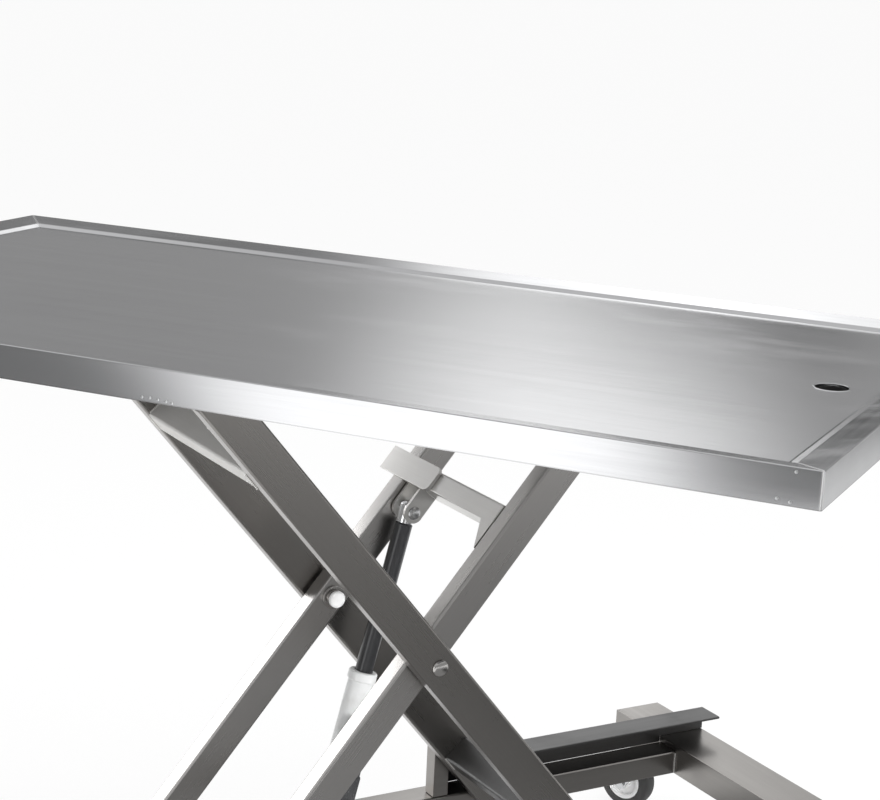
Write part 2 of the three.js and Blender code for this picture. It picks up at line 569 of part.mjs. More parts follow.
// Platform on top of the scissor: two rails with roller channels, hinge bracket and turntable race
function buildPlatform(platform) {
  const beamZ = [PLATFORM_TOP - BEAM_HEIGHT, PLATFORM_TOP];
  const channelZ = [PLATFORM_TOP - TRACK_HEIGHT - 2 * TRACK_WALL, PLATFORM_TOP];
  const channelX = [CHANNEL_START_X, CHANNEL_END_X];
  const beamStart = HINGE_X + PIVOT_RADIUS + BEAM_SHAFT_CLEARANCE;
  for (const [label, side] of SIDES) {
    const y = mirrored([CHANNEL_INNER_Y, CHANNEL_OUTER_Y], side);
    const openY = mirrored([CHANNEL_INNER_Y + TRACK_WALL, CHANNEL_OUTER_Y + OVERLAP], side);
    const inside = box(grown(channelX, OVERLAP), openY, grown(channelZ, -TRACK_WALL));
    const channel = box(channelX, y, channelZ).subtract(inside);
    const beam = tubeAlongX([beamStart, CHANNEL_START_X + TRACK_WALL], y, beamZ, BEAM_WALL);
    add(platform, `platform_rail_${label}`, beam.add(channel), 'dark');
  }

  const plateZ = [PLATFORM_TOP + CONTACT, TURNTABLE_PLATE_TOP];
  const lugReach = OUTER_ARM_INNER - CONTACT;
  const plateStart = HINGE_X - HINGE_PLATE_BEHIND;
  const plateX = [plateStart, plateStart + HINGE_PLATE_LENGTH];
  let bracket = box(plateX, [-lugReach, lugReach], plateZ);
  for (const [, side] of SIDES) {
    const lugY = mirrored([lugReach - HINGE_LUG_THICKNESS, lugReach], side);
    const lugZ = [UPPER_PIVOT_Z - PLATFORM_LUG_DROP, plateZ[1]];
    bracket = bracket.add(box(centred(HINGE_X, PLATFORM_LUG_WIDTH), lugY, lugZ));
  }
  const boreY = [-lugReach - OVERLAP, lugReach + OVERLAP];
  const bore = rodAlongY(PIVOT_RADIUS + RUNNING, boreY, HINGE_X, UPPER_PIVOT_Z);
  add(platform, 'platform_hinge_bracket', bracket.subtract(bore), 'dark');
  const shaftReach = OUTER_ARM_FACE - ARM_WALL - CONTACT;
  const shaft = rodAlongY(PIVOT_RADIUS, [-shaftReach, shaftReach], HINGE_X, UPPER_PIVOT_Z);
  add(platform, 'platform_hinge_shaft', shaft, 'zinc');

  const endX = [CHANNEL_END_X - END_BAR_WIDTH, CHANNEL_END_X];
  add(platform, 'platform_end_bar', box(endX, [-CHANNEL_OUTER_Y, CHANNEL_OUTER_Y], plateZ), 'dark');

  const race = rodAlongZ(RACE_RADIUS, [plateZ[0], TURNTABLE_PLATE_TOP + RACE_HEIGHT], 0, 0, TURNTABLE_SIDES);
  const raceHole = rodAlongZ(RACE_RADIUS - RACE_WALL, grown([plateZ[0], TURNTABLE_TOP], OVERLAP));
  const plate = rodAlongZ(TURNTABLE_RADIUS, plateZ, 0, 0, TURNTABLE_SIDES);
  add(platform, 'turntable_lower_ring', plate.add(race).subtract(raceHole), 'zinc');
}

// Table top, in its own turned frame: tray, stiffeners, upper turntable ring and drain spout
function buildTop(top) {
  const floorInset = RIM_WIDTH + STEP_WIDTH;
  const profile = [[0, -SKIRT_HEIGHT], [0, 0], [RIM_WIDTH, -RIM_DROP], [floorInset, -FLOOR_DROP],
    [floorInset + OVERLAP, -FLOOR_DROP], [floorInset + OVERLAP, -FLOOR_DROP - SHEET],
    [floorInset, -FLOOR_DROP - SHEET], [RIM_WIDTH, -RIM_DROP - SHEET], [SHEET, -SHEET],
    [SHEET, -SKIRT_HEIGHT]].map(([inset, z]) => [inset, TOP_HEIGHT + z]);
  const rim = mitredFrame(TOP_LENGTH, TOP_WIDTH, profile);
  const floorZ = [TRAY_UNDERSIDE, TRAY_UNDERSIDE + SHEET];
  const floorX = centred(0, TOP_LENGTH - 2 * floorInset);
  const floor = box(floorX, centred(0, TOP_WIDTH - 2 * floorInset), floorZ);
  const drainX = TOP_LENGTH / 2 - DRAIN_FROM_END;
  const drainRadius = DRAIN_DIAMETER / 2;
  const hole = rodAlongZ(drainRadius, grown(floorZ, OVERLAP), drainX, 0, WHEEL_SIDES);
  add(top, 'top_tray', rim.add(floor).subtract(hole), 'tray');

  const stiffenerZ = [TURNTABLE_TOP + CONTACT, TRAY_UNDERSIDE - CONTACT];
  const stiffenerX = centred(0, TOP_LENGTH - 2 * STIFFENER_FROM_END);
  for (const [label, side] of SIDES) {
    const y = centred(side * STIFFENER_SPACING / 2, STIFFENER_WIDTH);
    add(top, `top_stiffener_${label}`, tubeAlongX(stiffenerX, y, stiffenerZ, STIFFENER_WALL), 'dark');
  }

  const plateZ = [TURNTABLE_TOP - PLATFORM_PLATE, TURNTABLE_TOP];
  const ringZ = [TURNTABLE_PLATE_TOP + RACE_HEIGHT - RACE_OVERLAP, TURNTABLE_TOP];
  const ringHole = rodAlongZ(RACE_RADIUS + RUNNING, [ringZ[0] - OVERLAP, plateZ[0]], 0, 0, TURNTABLE_SIDES);
  const ring = rodAlongZ(RACE_RADIUS + RACE_WALL, ringZ, 0, 0, TURNTABLE_SIDES).subtract(ringHole);
  const plate = rodAlongZ(TURNTABLE_RADIUS, plateZ, 0, 0, TURNTABLE_SIDES);
  const eye = rodAlongZ(RACE_RADIUS - RACE_WALL, grown(plateZ, OVERLAP));
  add(top, 'turntable_upper_ring', plate.add(ring).subtract(eye), 'zinc');

  const spoutTop = TRAY_UNDERSIDE - CONTACT;
  const spoutZ = [spoutTop - SPOUT_LENGTH, spoutTop];
  const spout = rodAlongZ(drainRadius + SPOUT_WALL, spoutZ, drainX, 0, WHEEL_SIDES);
  const flangeZ = [spoutTop - SPOUT_WALL, spoutTop];
  const flange = rodAlongZ(drainRadius + SPOUT_FLANGE, flangeZ, drainX, 0, WHEEL_SIDES);
  const spoutBore = rodAlongZ(drainRadius, grown(spoutZ, OVERLAP), drainX, 0, WHEEL_SIDES);
  add(top, 'drain_spout', spout.add(flange).subtract(spoutBore), 'zinc');
}

// Actuator, hanging along local -Z from the clevis pin; the eye at its foot has room round the foot pin
function buildActuator(actuator) {
  const rodEnd = COLLAR_FROM_PIN + ROD_ENGAGED;
  const rodZ = [-rodEnd, -ROD_EYE_BELOW - CONTACT];
  add(actuator, 'actuator_rod', rodAlongZ(ROD_RADIUS, rodZ), 'black');

  const eye = rodAlongZ(ROD_EYE_RADIUS, [-ROD_EYE_BELOW, ROD_EYE_ABOVE]);
  const eyeBoreY = centred(0, 2 * (ROD_EYE_RADIUS + OVERLAP));
  const eyeBore = rodAlongY(CLEVIS_PIN_RADIUS + RUNNING, eyeBoreY, 0, 0);
  add(actuator, 'actuator_rod_eye', eye.subtract(eyeBore), 'chrome');

  const housingTop = -ACTUATOR_LENGTH + NECK_LENGTH + HOUSING_LENGTH;
  const barrelZ = [housingTop + CONTACT, -COLLAR_FROM_PIN];
  const barrelBore = rodAlongZ(ROD_RADIUS + RUNNING, grown(barrelZ, OVERLAP));
  const collar = rodAlongZ(COLLAR_RADIUS, [-COLLAR_FROM_PIN - COLLAR_LENGTH, -COLLAR_FROM_PIN]);
  const barrel = rodAlongZ(BARREL_RADIUS, barrelZ).add(collar).subtract(barrelBore);
  add(actuator, 'actuator_barrel', barrel, 'white');

  const housingZ = [-ACTUATOR_LENGTH + NECK_LENGTH, housingTop];
  const motorX = -MOTOR_SIDEWAYS;
  const motorY = -(BARREL_RADIUS + MOTOR_GAP + MOTOR_RADIUS);
  const barrelEnd = rodAlongZ(BARREL_RADIUS + HOUSING_WALL, housingZ);
  const motorEnd = rodAlongZ(MOTOR_RADIUS + HOUSING_WALL, housingZ, motorX, motorY);
  const between = box(centred(motorX / 2, 2 * MOTOR_RADIUS), [motorY, 0], housingZ);
  const housing = barrelEnd.add(motorEnd).add(between);
  const motor = rodAlongZ(MOTOR_RADIUS, [housingZ[0] + OVERLAP, housingTop + MOTOR_LENGTH], motorX, motorY);
  const inletFront = motorY - MOTOR_RADIUS - HOUSING_WALL;
  const inletY = [inletFront - INLET_LENGTH, motorY];
  const inlet = rodAlongY(INLET_RADIUS, inletY, motorX, housingZ[0] + INLET_RISE);
  const eyeY = centred(0, FOOT_EYE_WIDTH);
  const neckZ = [-ACTUATOR_LENGTH + FOOT_EYE_BORE_RADIUS, housingZ[0] + OVERLAP];
  const neck = box(centred(0, NECK_WIDTH), eyeY, neckZ);
  const footEye = rodAlongY(FOOT_EYE_RADIUS, eyeY, 0, -ACTUATOR_LENGTH);
  const footBore = rodAlongY(FOOT_EYE_BORE_RADIUS, grown(eyeY, OVERLAP), 0, -ACTUATOR_LENGTH);
  const casing = housing.add(motor).add(inlet).add(neck).add(footEye).subtract(footBore);
  add(actuator, 'actuator_motor', casing, 'black');
}

// One caster, in a frame at its swivel axis on the floor, trailing along local X
function buildCaster(caster, place) {
  const headTop = BASE_UNDERSIDE - CONTACT;
  const headZ = [headTop - CASTER_HEAD, headTop];
  add(caster, `caster_head_${place}`, rodAlongZ(CASTER_HEAD_RADIUS, headZ), 'zinc');

  const crownZ = [headZ[0] - CONTACT - FORK_CROWN, headZ[0] - CONTACT];
  const legInner = HUB_WIDTH / 2 + FORK_SIDE_CLEARANCE;
  const legOuter = legInner + FORK_PLATE;
  const axleZ = WHEEL_RADIUS;
  const toe = AXLE_HEAD_RADIUS + FORK_PLATE;
  const outline = [[-FORK_LEG_REACH, crownZ[1]], [-FORK_LEG_REACH, crownZ[0] - FORK_CROWN],
    [CASTER_TRAIL - toe, axleZ], [CASTER_TRAIL - toe / 2, axleZ - toe],
    [CASTER_TRAIL + toe / 2, axleZ - toe], [CASTER_TRAIL + toe, axleZ],
    [FORK_LEG_REACH, crownZ[0] - FORK_CROWN], [FORK_LEG_REACH, crownZ[1]]];
  let fork = rodAlongZ(FORK_CROWN_RADIUS, crownZ);
  const axleReach = legOuter + AXLE_HEAD;
  fork = fork.add(rodAlongY(AXLE_RADIUS, [-axleReach, axleReach], CASTER_TRAIL, axleZ));
  for (const [, side] of SIDES) {
    fork = fork.add(plateAcrossY(outline, mirrored([legInner, legOuter], side)));
    const headY = mirrored([legOuter - OVERLAP, axleReach], side);
    fork = fork.add(rodAlongY(AXLE_HEAD_RADIUS, headY, CASTER_TRAIL, axleZ));
  }
  add(caster, `caster_fork_${place}`, fork, 'zinc');

  const half = TYRE_WIDTH / 2;
  const seat = HUB_RADIUS + CONTACT;
  const shoulder = WHEEL_RADIUS - TYRE_ROUNDING;
  const tread = half - TYRE_ROUNDING;
  const tyre = [[seat, -half], [shoulder, -half], [WHEEL_RADIUS, -tread], [WHEEL_RADIUS, tread],
    [shoulder, half], [seat, half]];
  add(caster, `caster_tyre_${place}`, ringAboutY(tyre, CASTER_TRAIL, axleZ, WHEEL_SIDES), 'rubber');

  const hubHalf = HUB_WIDTH / 2;
  const bore = AXLE_RADIUS + RUNNING;
  const dish = hubHalf - HUB_RECESS;
  const hub = [[bore, -hubHalf], [HUB_BOSS_RADIUS, -hubHalf], [HUB_BOSS_RADIUS, -dish],
    [HUB_RADIUS - HUB_RIM, -dish], [HUB_RADIUS - HUB_RIM, -half], [HUB_RADIUS, -half],
    [HUB_RADIUS, half], [HUB_RADIUS - HUB_RIM, half], [HUB_RADIUS - HUB_RIM, dish],
    [HUB_BOSS_RADIUS, dish], [HUB_BOSS_RADIUS, hubHalf], [bore, hubHalf]];
  add(caster, `caster_hub_${place}`, ringAboutY(hub, CASTER_TRAIL, axleZ, WHEEL_SIDES), 'zinc');
}

// Assembly
const table = new THREE.Group();
table.position.x = -BOX_MIDDLE_X;

buildBase(table);
buildPlatform(table);

const outerFrame = new THREE.Group();
outerFrame.position.set(PIVOT_X, 0, PIVOT_Z);
outerFrame.rotation.y = LIFT_ANGLE;
buildOuterFrame(outerFrame);
table.add(outerFrame);

const innerFrame = new THREE.Group();
innerFrame.position.set(PIVOT_X, 0, PIVOT_Z);
innerFrame.rotation.y = -LIFT_ANGLE;
buildInnerFrame(innerFrame);
table.add(innerFrame);

const top = new THREE.Group();
top.rotation.z = TOP_TURN;
buildTop(top);
table.add(top);

const actuator = new THREE.Group();
actuator.position.set(CLEVIS_PIN_X, CLEVIS_Y, CLEVIS_PIN_Z);
actuator.rotation.y = ACTUATOR_LEAN;
buildActuator(actuator);
table.add(actuator);

for (const [end, crossbarX] of [['right', RIGHT_CROSSBAR_X], ['left', LEFT_CROSSBAR_X]]) {
  for (const [label, side] of SIDES) {
    const caster = new THREE.Group();
    caster.position.set(crossbarX, side * (CROSSBAR_LENGTH / 2 - CASTER_FROM_END), 0);
    caster.rotation.z = radians(CASTER_TURN_DEGREES);
    buildCaster(caster, `${end}_${label}`);
    table.add(caster);
  }
}

const part = new THREE.Group();
part.add(table);
part.updateMatrixWorld(true);

export default part;
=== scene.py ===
# %% [markdown]
# A veterinary exam table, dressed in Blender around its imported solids. The table has a stainless tray on a
# turntable, a scissor lift under it, an electric actuator and a low frame on four casters. The solids give
# every place and size. This lesson gives each piece its folds, round edges, welds and finish.

# %% Load the frame
import json
import math

import bmesh
import bpy
from mathutils import Matrix, Vector


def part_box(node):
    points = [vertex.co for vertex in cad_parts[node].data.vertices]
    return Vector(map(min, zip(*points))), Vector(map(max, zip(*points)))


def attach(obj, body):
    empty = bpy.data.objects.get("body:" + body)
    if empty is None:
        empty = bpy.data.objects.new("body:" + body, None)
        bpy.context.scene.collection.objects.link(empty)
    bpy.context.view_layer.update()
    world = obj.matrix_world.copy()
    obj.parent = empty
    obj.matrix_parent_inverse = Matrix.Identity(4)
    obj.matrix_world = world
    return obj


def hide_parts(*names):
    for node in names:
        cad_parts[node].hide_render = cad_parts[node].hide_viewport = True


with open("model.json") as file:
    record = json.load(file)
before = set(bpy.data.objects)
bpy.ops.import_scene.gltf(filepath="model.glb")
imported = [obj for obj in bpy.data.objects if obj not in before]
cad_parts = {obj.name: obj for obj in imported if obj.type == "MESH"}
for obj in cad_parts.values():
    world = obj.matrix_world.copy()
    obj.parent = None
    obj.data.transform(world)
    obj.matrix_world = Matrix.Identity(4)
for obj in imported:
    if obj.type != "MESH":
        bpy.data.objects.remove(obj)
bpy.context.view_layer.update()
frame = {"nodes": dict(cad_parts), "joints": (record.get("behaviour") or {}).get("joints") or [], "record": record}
MM = 0.001

# %% [markdown]
# Five groups of pieces are turned against the floor: both pairs of arms, the tray, the actuator and each
# caster. A matrix for each group lets a piece be modelled straight and then set in place. The joints of the
# frame say where the groups turn, so nothing has to be measured twice.

# %% Frames of the turned groups
def joint(name):
    return next(entry for entry in frame["joints"] if entry["name"] == name)


def joint_place(name):
    return Vector(joint(name)["pos_m"])


HINGE = joint_place("lift")
PIVOT = joint_place("scissor_cross")
LIFT_ANGLE = math.atan2(PIVOT.z - HINGE.z, PIVOT.x - HINGE.x)
TOP_TURN = math.radians(-54.8)
TURN_CENTRE = joint_place("top_turn")
CLEVIS_PIN = joint_place("actuator_swing")
STROKE = Vector(joint("actuator_stroke")["axis"])
ACTUATOR_LEAN = math.atan2(-STROKE.x, -STROKE.z)

outer_frame = Matrix.Translation(PIVOT) @ Matrix.Rotation(LIFT_ANGLE, 4, "Y")
inner_frame = Matrix.Translation(PIVOT) @ Matrix.Rotation(-LIFT_ANGLE, 4, "Y")
tray_frame = Matrix.Translation((TURN_CENTRE.x, TURN_CENTRE.y, 0)) @ Matrix.Rotation(TOP_TURN, 4, "Z")
actuator_frame = Matrix.Translation(CLEVIS_PIN) @ Matrix.Rotation(ACTUATOR_LEAN, 4, "Y")
QUARTER_X = Matrix.Rotation(math.radians(90), 4, "X")
SIDES = (("far", 1), ("near", -1))
PLACES = [f"{end}_{side}" for end in ("right", "left") for side in ("far", "near")]


def caster_frame(place):
    swivel = joint_place(f"caster_swivel_{place}")
    axle = Vector(joint(f"caster_roll_{place}")["axis"])
    heading = math.atan2(-axle.x, axle.y)
    return Matrix.Translation((swivel.x, swivel.y, 0)) @ Matrix.Rotation(heading, 4, "Z")


print("arms at", round(math.degrees(LIFT_ANGLE), 1), "degrees, actuator leans",
      round(math.degrees(ACTUATOR_LEAN), 1))

# %% [markdown]
# The camera stands in front of the table's left end, a little above the tray, and is rolled a few degrees,
# as it was when the picture was taken. A long lens keeps the far edge of the tray nearly parallel to the
# near one.

# %% Camera
CAMERA_PLACE = Vector((-0.9710, -1.8652, 1.17035))
CAMERA_YAW = math.radians(30.113)
CAMERA_PITCH = math.radians(13.289)
CAMERA_ROLL = math.radians(2.611)
FOCAL_PIXELS = 2104.4
PICTURE_WIDTH = 880
SENSOR = 36

forward = Vector((math.sin(CAMERA_YAW) * math.cos(CAMERA_PITCH),
                  math.cos(CAMERA_YAW) * math.cos(CAMERA_PITCH), -math.sin(CAMERA_PITCH)))
level_right = Vector((math.cos(CAMERA_YAW), -math.sin(CAMERA_YAW), 0))
level_up = level_right.cross(forward)
right = level_right * math.cos(CAMERA_ROLL) + level_up * math.sin(CAMERA_ROLL)
up = right.cross(forward)
camera_data = bpy.data.cameras.new("camera")
camera_data.sensor_fit = "HORIZONTAL"
camera_data.sensor_width = SENSOR
camera_data.lens = FOCAL_PIXELS / PICTURE_WIDTH * SENSOR
camera = bpy.data.objects.new("camera", camera_data)
camera.matrix_world = Matrix.Translation(CAMERA_PLACE) @ Matrix((right, up, -forward)).transposed().to_4x4()
bpy.context.scene.collection.objects.link(camera)
bpy.context.scene.camera = camera
print("lens:", round(camera_data.lens, 1), "mm")

# %% [markdown]
# Shader maths reads best as plain expressions. A Wire holds one output of a shader node, and its operators
# add Math nodes. A Paint holds one material's node tree, and its node method adds any other node by type,
# with its settings first and then the values or wires of its sockets.

# %% Wires and paints
class Wire:
    def __init__(self, paint, socket):
        self.paint = paint
        self.socket = socket

    def math(self, operation, first, second=0.0):
        return self.paint.node("ShaderNodeMath", {"operation": operation}, {0: first, 1: second})

    def __add__(self, other):
        return self.math("ADD", self, other)

    def __radd__(self, other):
        return self.math("ADD", other, self)

    def __sub__(self, other):
        return self.math("SUBTRACT", self, other)

    def __rsub__(self, other):
        return self.math("SUBTRACT", other, self)

    def __mul__(self, other):
        return self.math("MULTIPLY", self, other)

    def __lt__(self, other):
        return self.math("LESS_THAN", self, other)

    def __abs__(self):
        return self.math("ABSOLUTE", self)


class Paint:
    def __init__(self, name, block=None, shader="Principled BSDF"):
        self.material = block or bpy.data.materials.new(name)
        self.material.use_nodes = True
        self.tree = self.material.node_tree
        self.shader = self.tree.nodes[shader]

    def node(self, kind, settings=None, sockets=None, output=0):
        made = self.tree.nodes.new(kind)
        for key, value in (settings or {}).items():
            setattr(made, key, value)
        for key, value in (sockets or {}).items():
            self.feed(made.inputs[key], value)
        return Wire(self, made.outputs[output])

    def feed(self, socket, value):
        if isinstance(value, Wire):
            self.tree.links.new(value.socket, socket)
        else:
            socket.default_value = value

    def set(self, **sockets):
        for name, value in sockets.items():
            self.feed(self.shader.inputs[name.replace("_", " ")], value)

    def coordinates(self):
        return self.node("ShaderNodeTexCoord", output="Object")

    def place(self, turn=(0, 0, 0), shift=(0, 0, 0)):
        return self.node("ShaderNodeMapping", None,
                         {"Vector": self.coordinates(), "Location": shift, "Rotation": turn})

    def stretched(self, place, scale):
        return self.node("ShaderNodeMapping", None, {"Vector": place, "Scale": scale})

    def noise(self, place, scale, detail=2.0, roughness=0.5):
        return self.node("ShaderNodeTexNoise", None,
                         {"Vector": place, "Scale": scale, "Detail": detail, "Roughness": roughness}, "Fac")

    def ramp(self, value, low, high, bottom=0.0, top=1.0):
        limits = {"Value": value, "From Min": low, "From Max": high, "To Min": bottom, "To Max": top}
        return self.node("ShaderNodeMapRange", {"interpolation_type": "SMOOTHSTEP"}, limits)

    def mix(self, factor, first, second):
        return self.node("ShaderNodeMix", {"data_type": "RGBA"}, {0: factor, 6: first, 7: second}, 2)

    def bump(self, height, strength, distance):
        return self.node("ShaderNodeBump", None,
                         {"Height": height, "Strength": strength, "Distance": distance})

    def split(self, place):
        return [self.node("ShaderNodeSeparateXYZ", None, {0: place}, axis) for axis in range(3)]


def tone(red, green, blue):
    return (red, green, blue, 1.0)


print("shader tools ready")

# %% [markdown]
# The picture has a pure white ground, so the floor is pale and shows white to the camera and in reflections,
# while a share of plain diffuse keeps the soft shadow under the casters.

# %% Floor
FLOOR_SIZE = 60.0
FLOOR_DROP = 0.5 * MM
FLOOR_WHITE_SHARE = 0.85


def stage_plane(name, size, place, material):
    bm = bmesh.new()
    bmesh.ops.create_grid(bm, x_segments=1, y_segments=1, size=0.5)
    bmesh.ops.scale(bm, verts=bm.verts, vec=(size[0], size[1], 1))
    data = bpy.data.meshes.new(name)
    bm.to_mesh(data)
    bm.free()
    data.materials.append(material)
    plane = bpy.data.objects.new(name, data)
    plane.matrix_world = place
    bpy.context.scene.collection.objects.link(plane)
    return plane


floor_paint = Paint("studio_floor")
floor_paint.set(Base_Color=tone(0.9, 0.9, 0.9), Roughness=0.9)
seen = floor_paint.node("ShaderNodeLightPath", output="Is Camera Ray")
for ray in ("Is Glossy Ray", "Is Transmission Ray"):
    seen = seen.math("MAXIMUM", seen, floor_paint.node("ShaderNodeLightPath", output=ray))
white = floor_paint.node("ShaderNodeEmission", None, {"Color": tone(1, 1, 1), "Strength": 1.0})
diffuse = Wire(floor_paint, floor_paint.shader.outputs[0])
shown = floor_paint.node("ShaderNodeMixShader", None, {0: seen * FLOOR_WHITE_SHARE, 1: diffuse, 2: white})
floor_paint.feed(floor_paint.tree.nodes["Material Output"].inputs["Surface"], shown)
stage_plane("studio_floor", (FLOOR_SIZE, FLOOR_SIZE), Matrix.Translation((0, 0, -FLOOR_DROP)),
            floor_paint.material)
bpy.context.scene.view_settings.view_transform = "Standard"
print("floor", FLOOR_SIZE, "m")

# %% [markdown]
# Steel shows the room around it more than its own colour, so the room is what gives it its tones. It is a
# pale room, brighter overhead, with soft glows in its walls and at the horizon and two dimmer spots between
# them. The small glows behind the table lay the broad highlight on the tray and whiten its far rim, and the
# wide ones behind on the left whiten the upper faces of the inner arms. The camera itself sees plain white.

# %% Room
ROOM_LEVEL = 0.33
ROOM_ABOVE = 0.85
room = Paint("studio", bpy.data.worlds.new("studio"), "Background")
bpy.context.scene.world = room.material
direction = room.node("ShaderNodeTexCoord", output="Generated")


def glow(azimuth, elevation, inner, outer, strength):
    azimuth = math.radians(azimuth)
    elevation = math.radians(elevation)
    target = (math.cos(azimuth) * math.cos(elevation), math.sin(azimuth) * math.cos(elevation),
              math.sin(elevation))
    closeness = room.node("ShaderNodeVectorMath", {"operation": "DOT_PRODUCT"},
                          {0: direction, 1: target}, "Value")
    return room.ramp(closeness, math.cos(math.radians(outer)), math.cos(math.radians(inner))) * strength


height = room.split(direction)[2]
level = room.ramp(height, 0.1, 0.9, ROOM_LEVEL, ROOM_ABOVE)
tray_glow = glow(56.4, 16.8, 0, 8, 1.15)
rim_glow = glow(58, 27, 1, 7, 1.2) + glow(51, 27.5, 1, 7, 1.1)
arm_glow = glow(117, 21, 8, 18, 2.4)
wall_glow = glow(112, 26, 8, 36, 0.6)
horizon_glow = glow(57.5, 0.5, 1, 5, 1.3)
dim_below = glow(52.5, 8.4, 1.5, 5.5, -0.4)
dim_left = glow(70, 24, 4, 8, -0.28)
glows = tray_glow + rim_glow + arm_glow + wall_glow + horizon_glow + dim_below + dim_left
backdrop = room.node("ShaderNodeLightPath", output="Is Camera Ray")
room.set(Color=tone(1, 1, 1), Strength=(level + glows) * (1 - backdrop) + backdrop)
print("room from", ROOM_LEVEL, "to", ROOM_ABOVE)

# %% [markdown]
# A lamp overhead gives soft shadows and one in front lights the paint. Reflections do not show them. Four
# cards stand out of view, as in any picture of steel: a white one on the left, feathered at its ends, for
# the tray's long skirt, and three grey ones on the floor. The upright faces of the arms show the one in
# front, the base shows the one below it and the tray's end shows the one on the right. The grey card below
# the table is a painted shadow of the table on the floor. Only reflections see the cards.

# %% Lamps and cards
OVERHEAD_PLACE = Vector((0.2, 0.2, 3.2))
OVERHEAD_SIZE = (3.0, 2.4)
OVERHEAD_WATTS = 40
FRONT_PLACE = Vector((0.5, -2.6, 0.75))
FRONT_TARGET = Vector((0.05, 0.0, 0.4))
FRONT_SIZE = (1.6, 1.2)
FRONT_WATTS = 95
CARD_HEIGHT = 2 * MM


def area_lamp(name, place, size, watts):
    data = bpy.data.lights.new(name, "AREA")
    data.shape = "RECTANGLE"
    data.size, data.size_y = size
    data.energy = watts
    lamp = bpy.data.objects.new(name, data)
    lamp.matrix_world = place
    lamp.visible_glossy = False
    bpy.context.scene.collection.objects.link(lamp)


area_lamp("overhead", Matrix.Translation(OVERHEAD_PLACE), OVERHEAD_SIZE, OVERHEAD_WATTS)
aim = (FRONT_TARGET - FRONT_PLACE).to_track_quat("-Z", "Y").to_matrix().to_4x4()
area_lamp("front", Matrix.Translation(FRONT_PLACE) @ aim, FRONT_SIZE, FRONT_WATTS)


def card(paint, strength, size, place):
    light = paint.node("ShaderNodeEmission", None, {"Color": tone(1, 1, 1), "Strength": strength})
    paint.feed(paint.tree.nodes["Material Output"].inputs["Surface"], light)
    plane = stage_plane(paint.material.name, size, place, paint.material)
    plane.visible_camera = False
    plane.visible_diffuse = False
    plane.visible_shadow = False


SKIRT_CARD_PLACE = Vector((-1.6, -0.68, 0.4))
SKIRT_CARD_SIZE = (3.6, 0.79)
skirt_paint = Paint("skirt_card")
from_middle = abs(skirt_paint.split(skirt_paint.coordinates())[0])
upright = Matrix.Rotation(math.radians(90), 4, "Z") @ QUARTER_X
card(skirt_paint, skirt_paint.ramp(from_middle, 0.27, 0.5, 1.95, 0.24), SKIRT_CARD_SIZE,
     Matrix.Translation(SKIRT_CARD_PLACE) @ upright)

ARM_CARD_PLACE = Vector((0.9, -1.7, CARD_HEIGHT))
ARM_CARD_SIZE = (2.6, 2.9)
ARM_CARD_DARKEST = (-0.05, 0.95)
ARM_CARD_NARROWING = 2.2
arm_card_paint = Paint("arm_card")
narrowed = arm_card_paint.stretched(arm_card_paint.coordinates(), (ARM_CARD_NARROWING, 1, 1))
darkest = (ARM_CARD_DARKEST[0] * ARM_CARD_NARROWING, ARM_CARD_DARKEST[1], 0)
from_darkest = arm_card_paint.node("ShaderNodeVectorMath", {"operation": "DISTANCE"},
                                   {0: narrowed, 1: darkest}, "Value")
card(arm_card_paint, arm_card_paint.ramp(from_darkest, 0.1, 1.1, 0.06, 0.3), ARM_CARD_SIZE,
     Matrix.Translation(ARM_CARD_PLACE))

# Painted shadow: this grey card puts the table's shadow on the floor into the reflections of the base.
BASE_CARD_PLACE = Vector((0.3, -0.04, CARD_HEIGHT))
BASE_CARD_SIZE = (1.4, 0.56)
BASE_CARD_STRENGTH = 0.25
card(Paint("floor_shadow_card"), BASE_CARD_STRENGTH, BASE_CARD_SIZE, Matrix.Translation(BASE_CARD_PLACE))

END_CARD_PLACE = Vector((3.2, 0.6, CARD_HEIGHT))
END_CARD_SIZE = (3.0, 3.0)
end_card_paint = Paint("end_card")
away = end_card_paint.split(end_card_paint.coordinates())[0]
card(end_card_paint, end_card_paint.ramp(away, -0.9, 0.5, 0.8, 0.3), END_CARD_SIZE,
     Matrix.Translation(END_CARD_PLACE))
print("2 lamps and 4 cards")

# %% [markdown]
# Stainless sheet and tube are brushed: fine scratches run along each piece and spread every highlight across
# them. Noise that is stretched far along the grain gives those scratches. It varies the roughness, the
# colour and a shallow bump, and a slow cloud of handling marks keeps the surface from looking even.

# %% Brushed steel
GRAIN_FINE = 900.0
GRAIN_BROAD = 140.0
GRAIN_STRETCH = 0.012


def grain(paint, place, scale):
    along = paint.stretched(place, (GRAIN_STRETCH, 1, 1))
    return paint.noise(along, scale, 3.0, 0.65)


def brushed_steel(name, colour, dark, roughness, turn=(0, 0, 0), wear=0.5, metallic=1.0):
    paint = Paint(name)
    place = paint.place(turn)
    fine = grain(paint, place, GRAIN_FINE)
    broad = grain(paint, place, GRAIN_BROAD)
    marks = paint.noise(place, 9.0, 4.0, 0.6)
    smudge = paint.ramp(marks, 0.42, 0.72)
    scratch = fine * 0.6 + broad * 0.4
    paint.set(Base_Color=paint.mix(scratch * 0.6 + smudge * wear * 0.4, colour, dark),
              Metallic=metallic,
              Roughness=roughness - 0.07 + scratch * 0.14 + smudge * 0.06,
              Normal=paint.bump(scratch, 0.12, 0.2 * MM))
    return paint.material
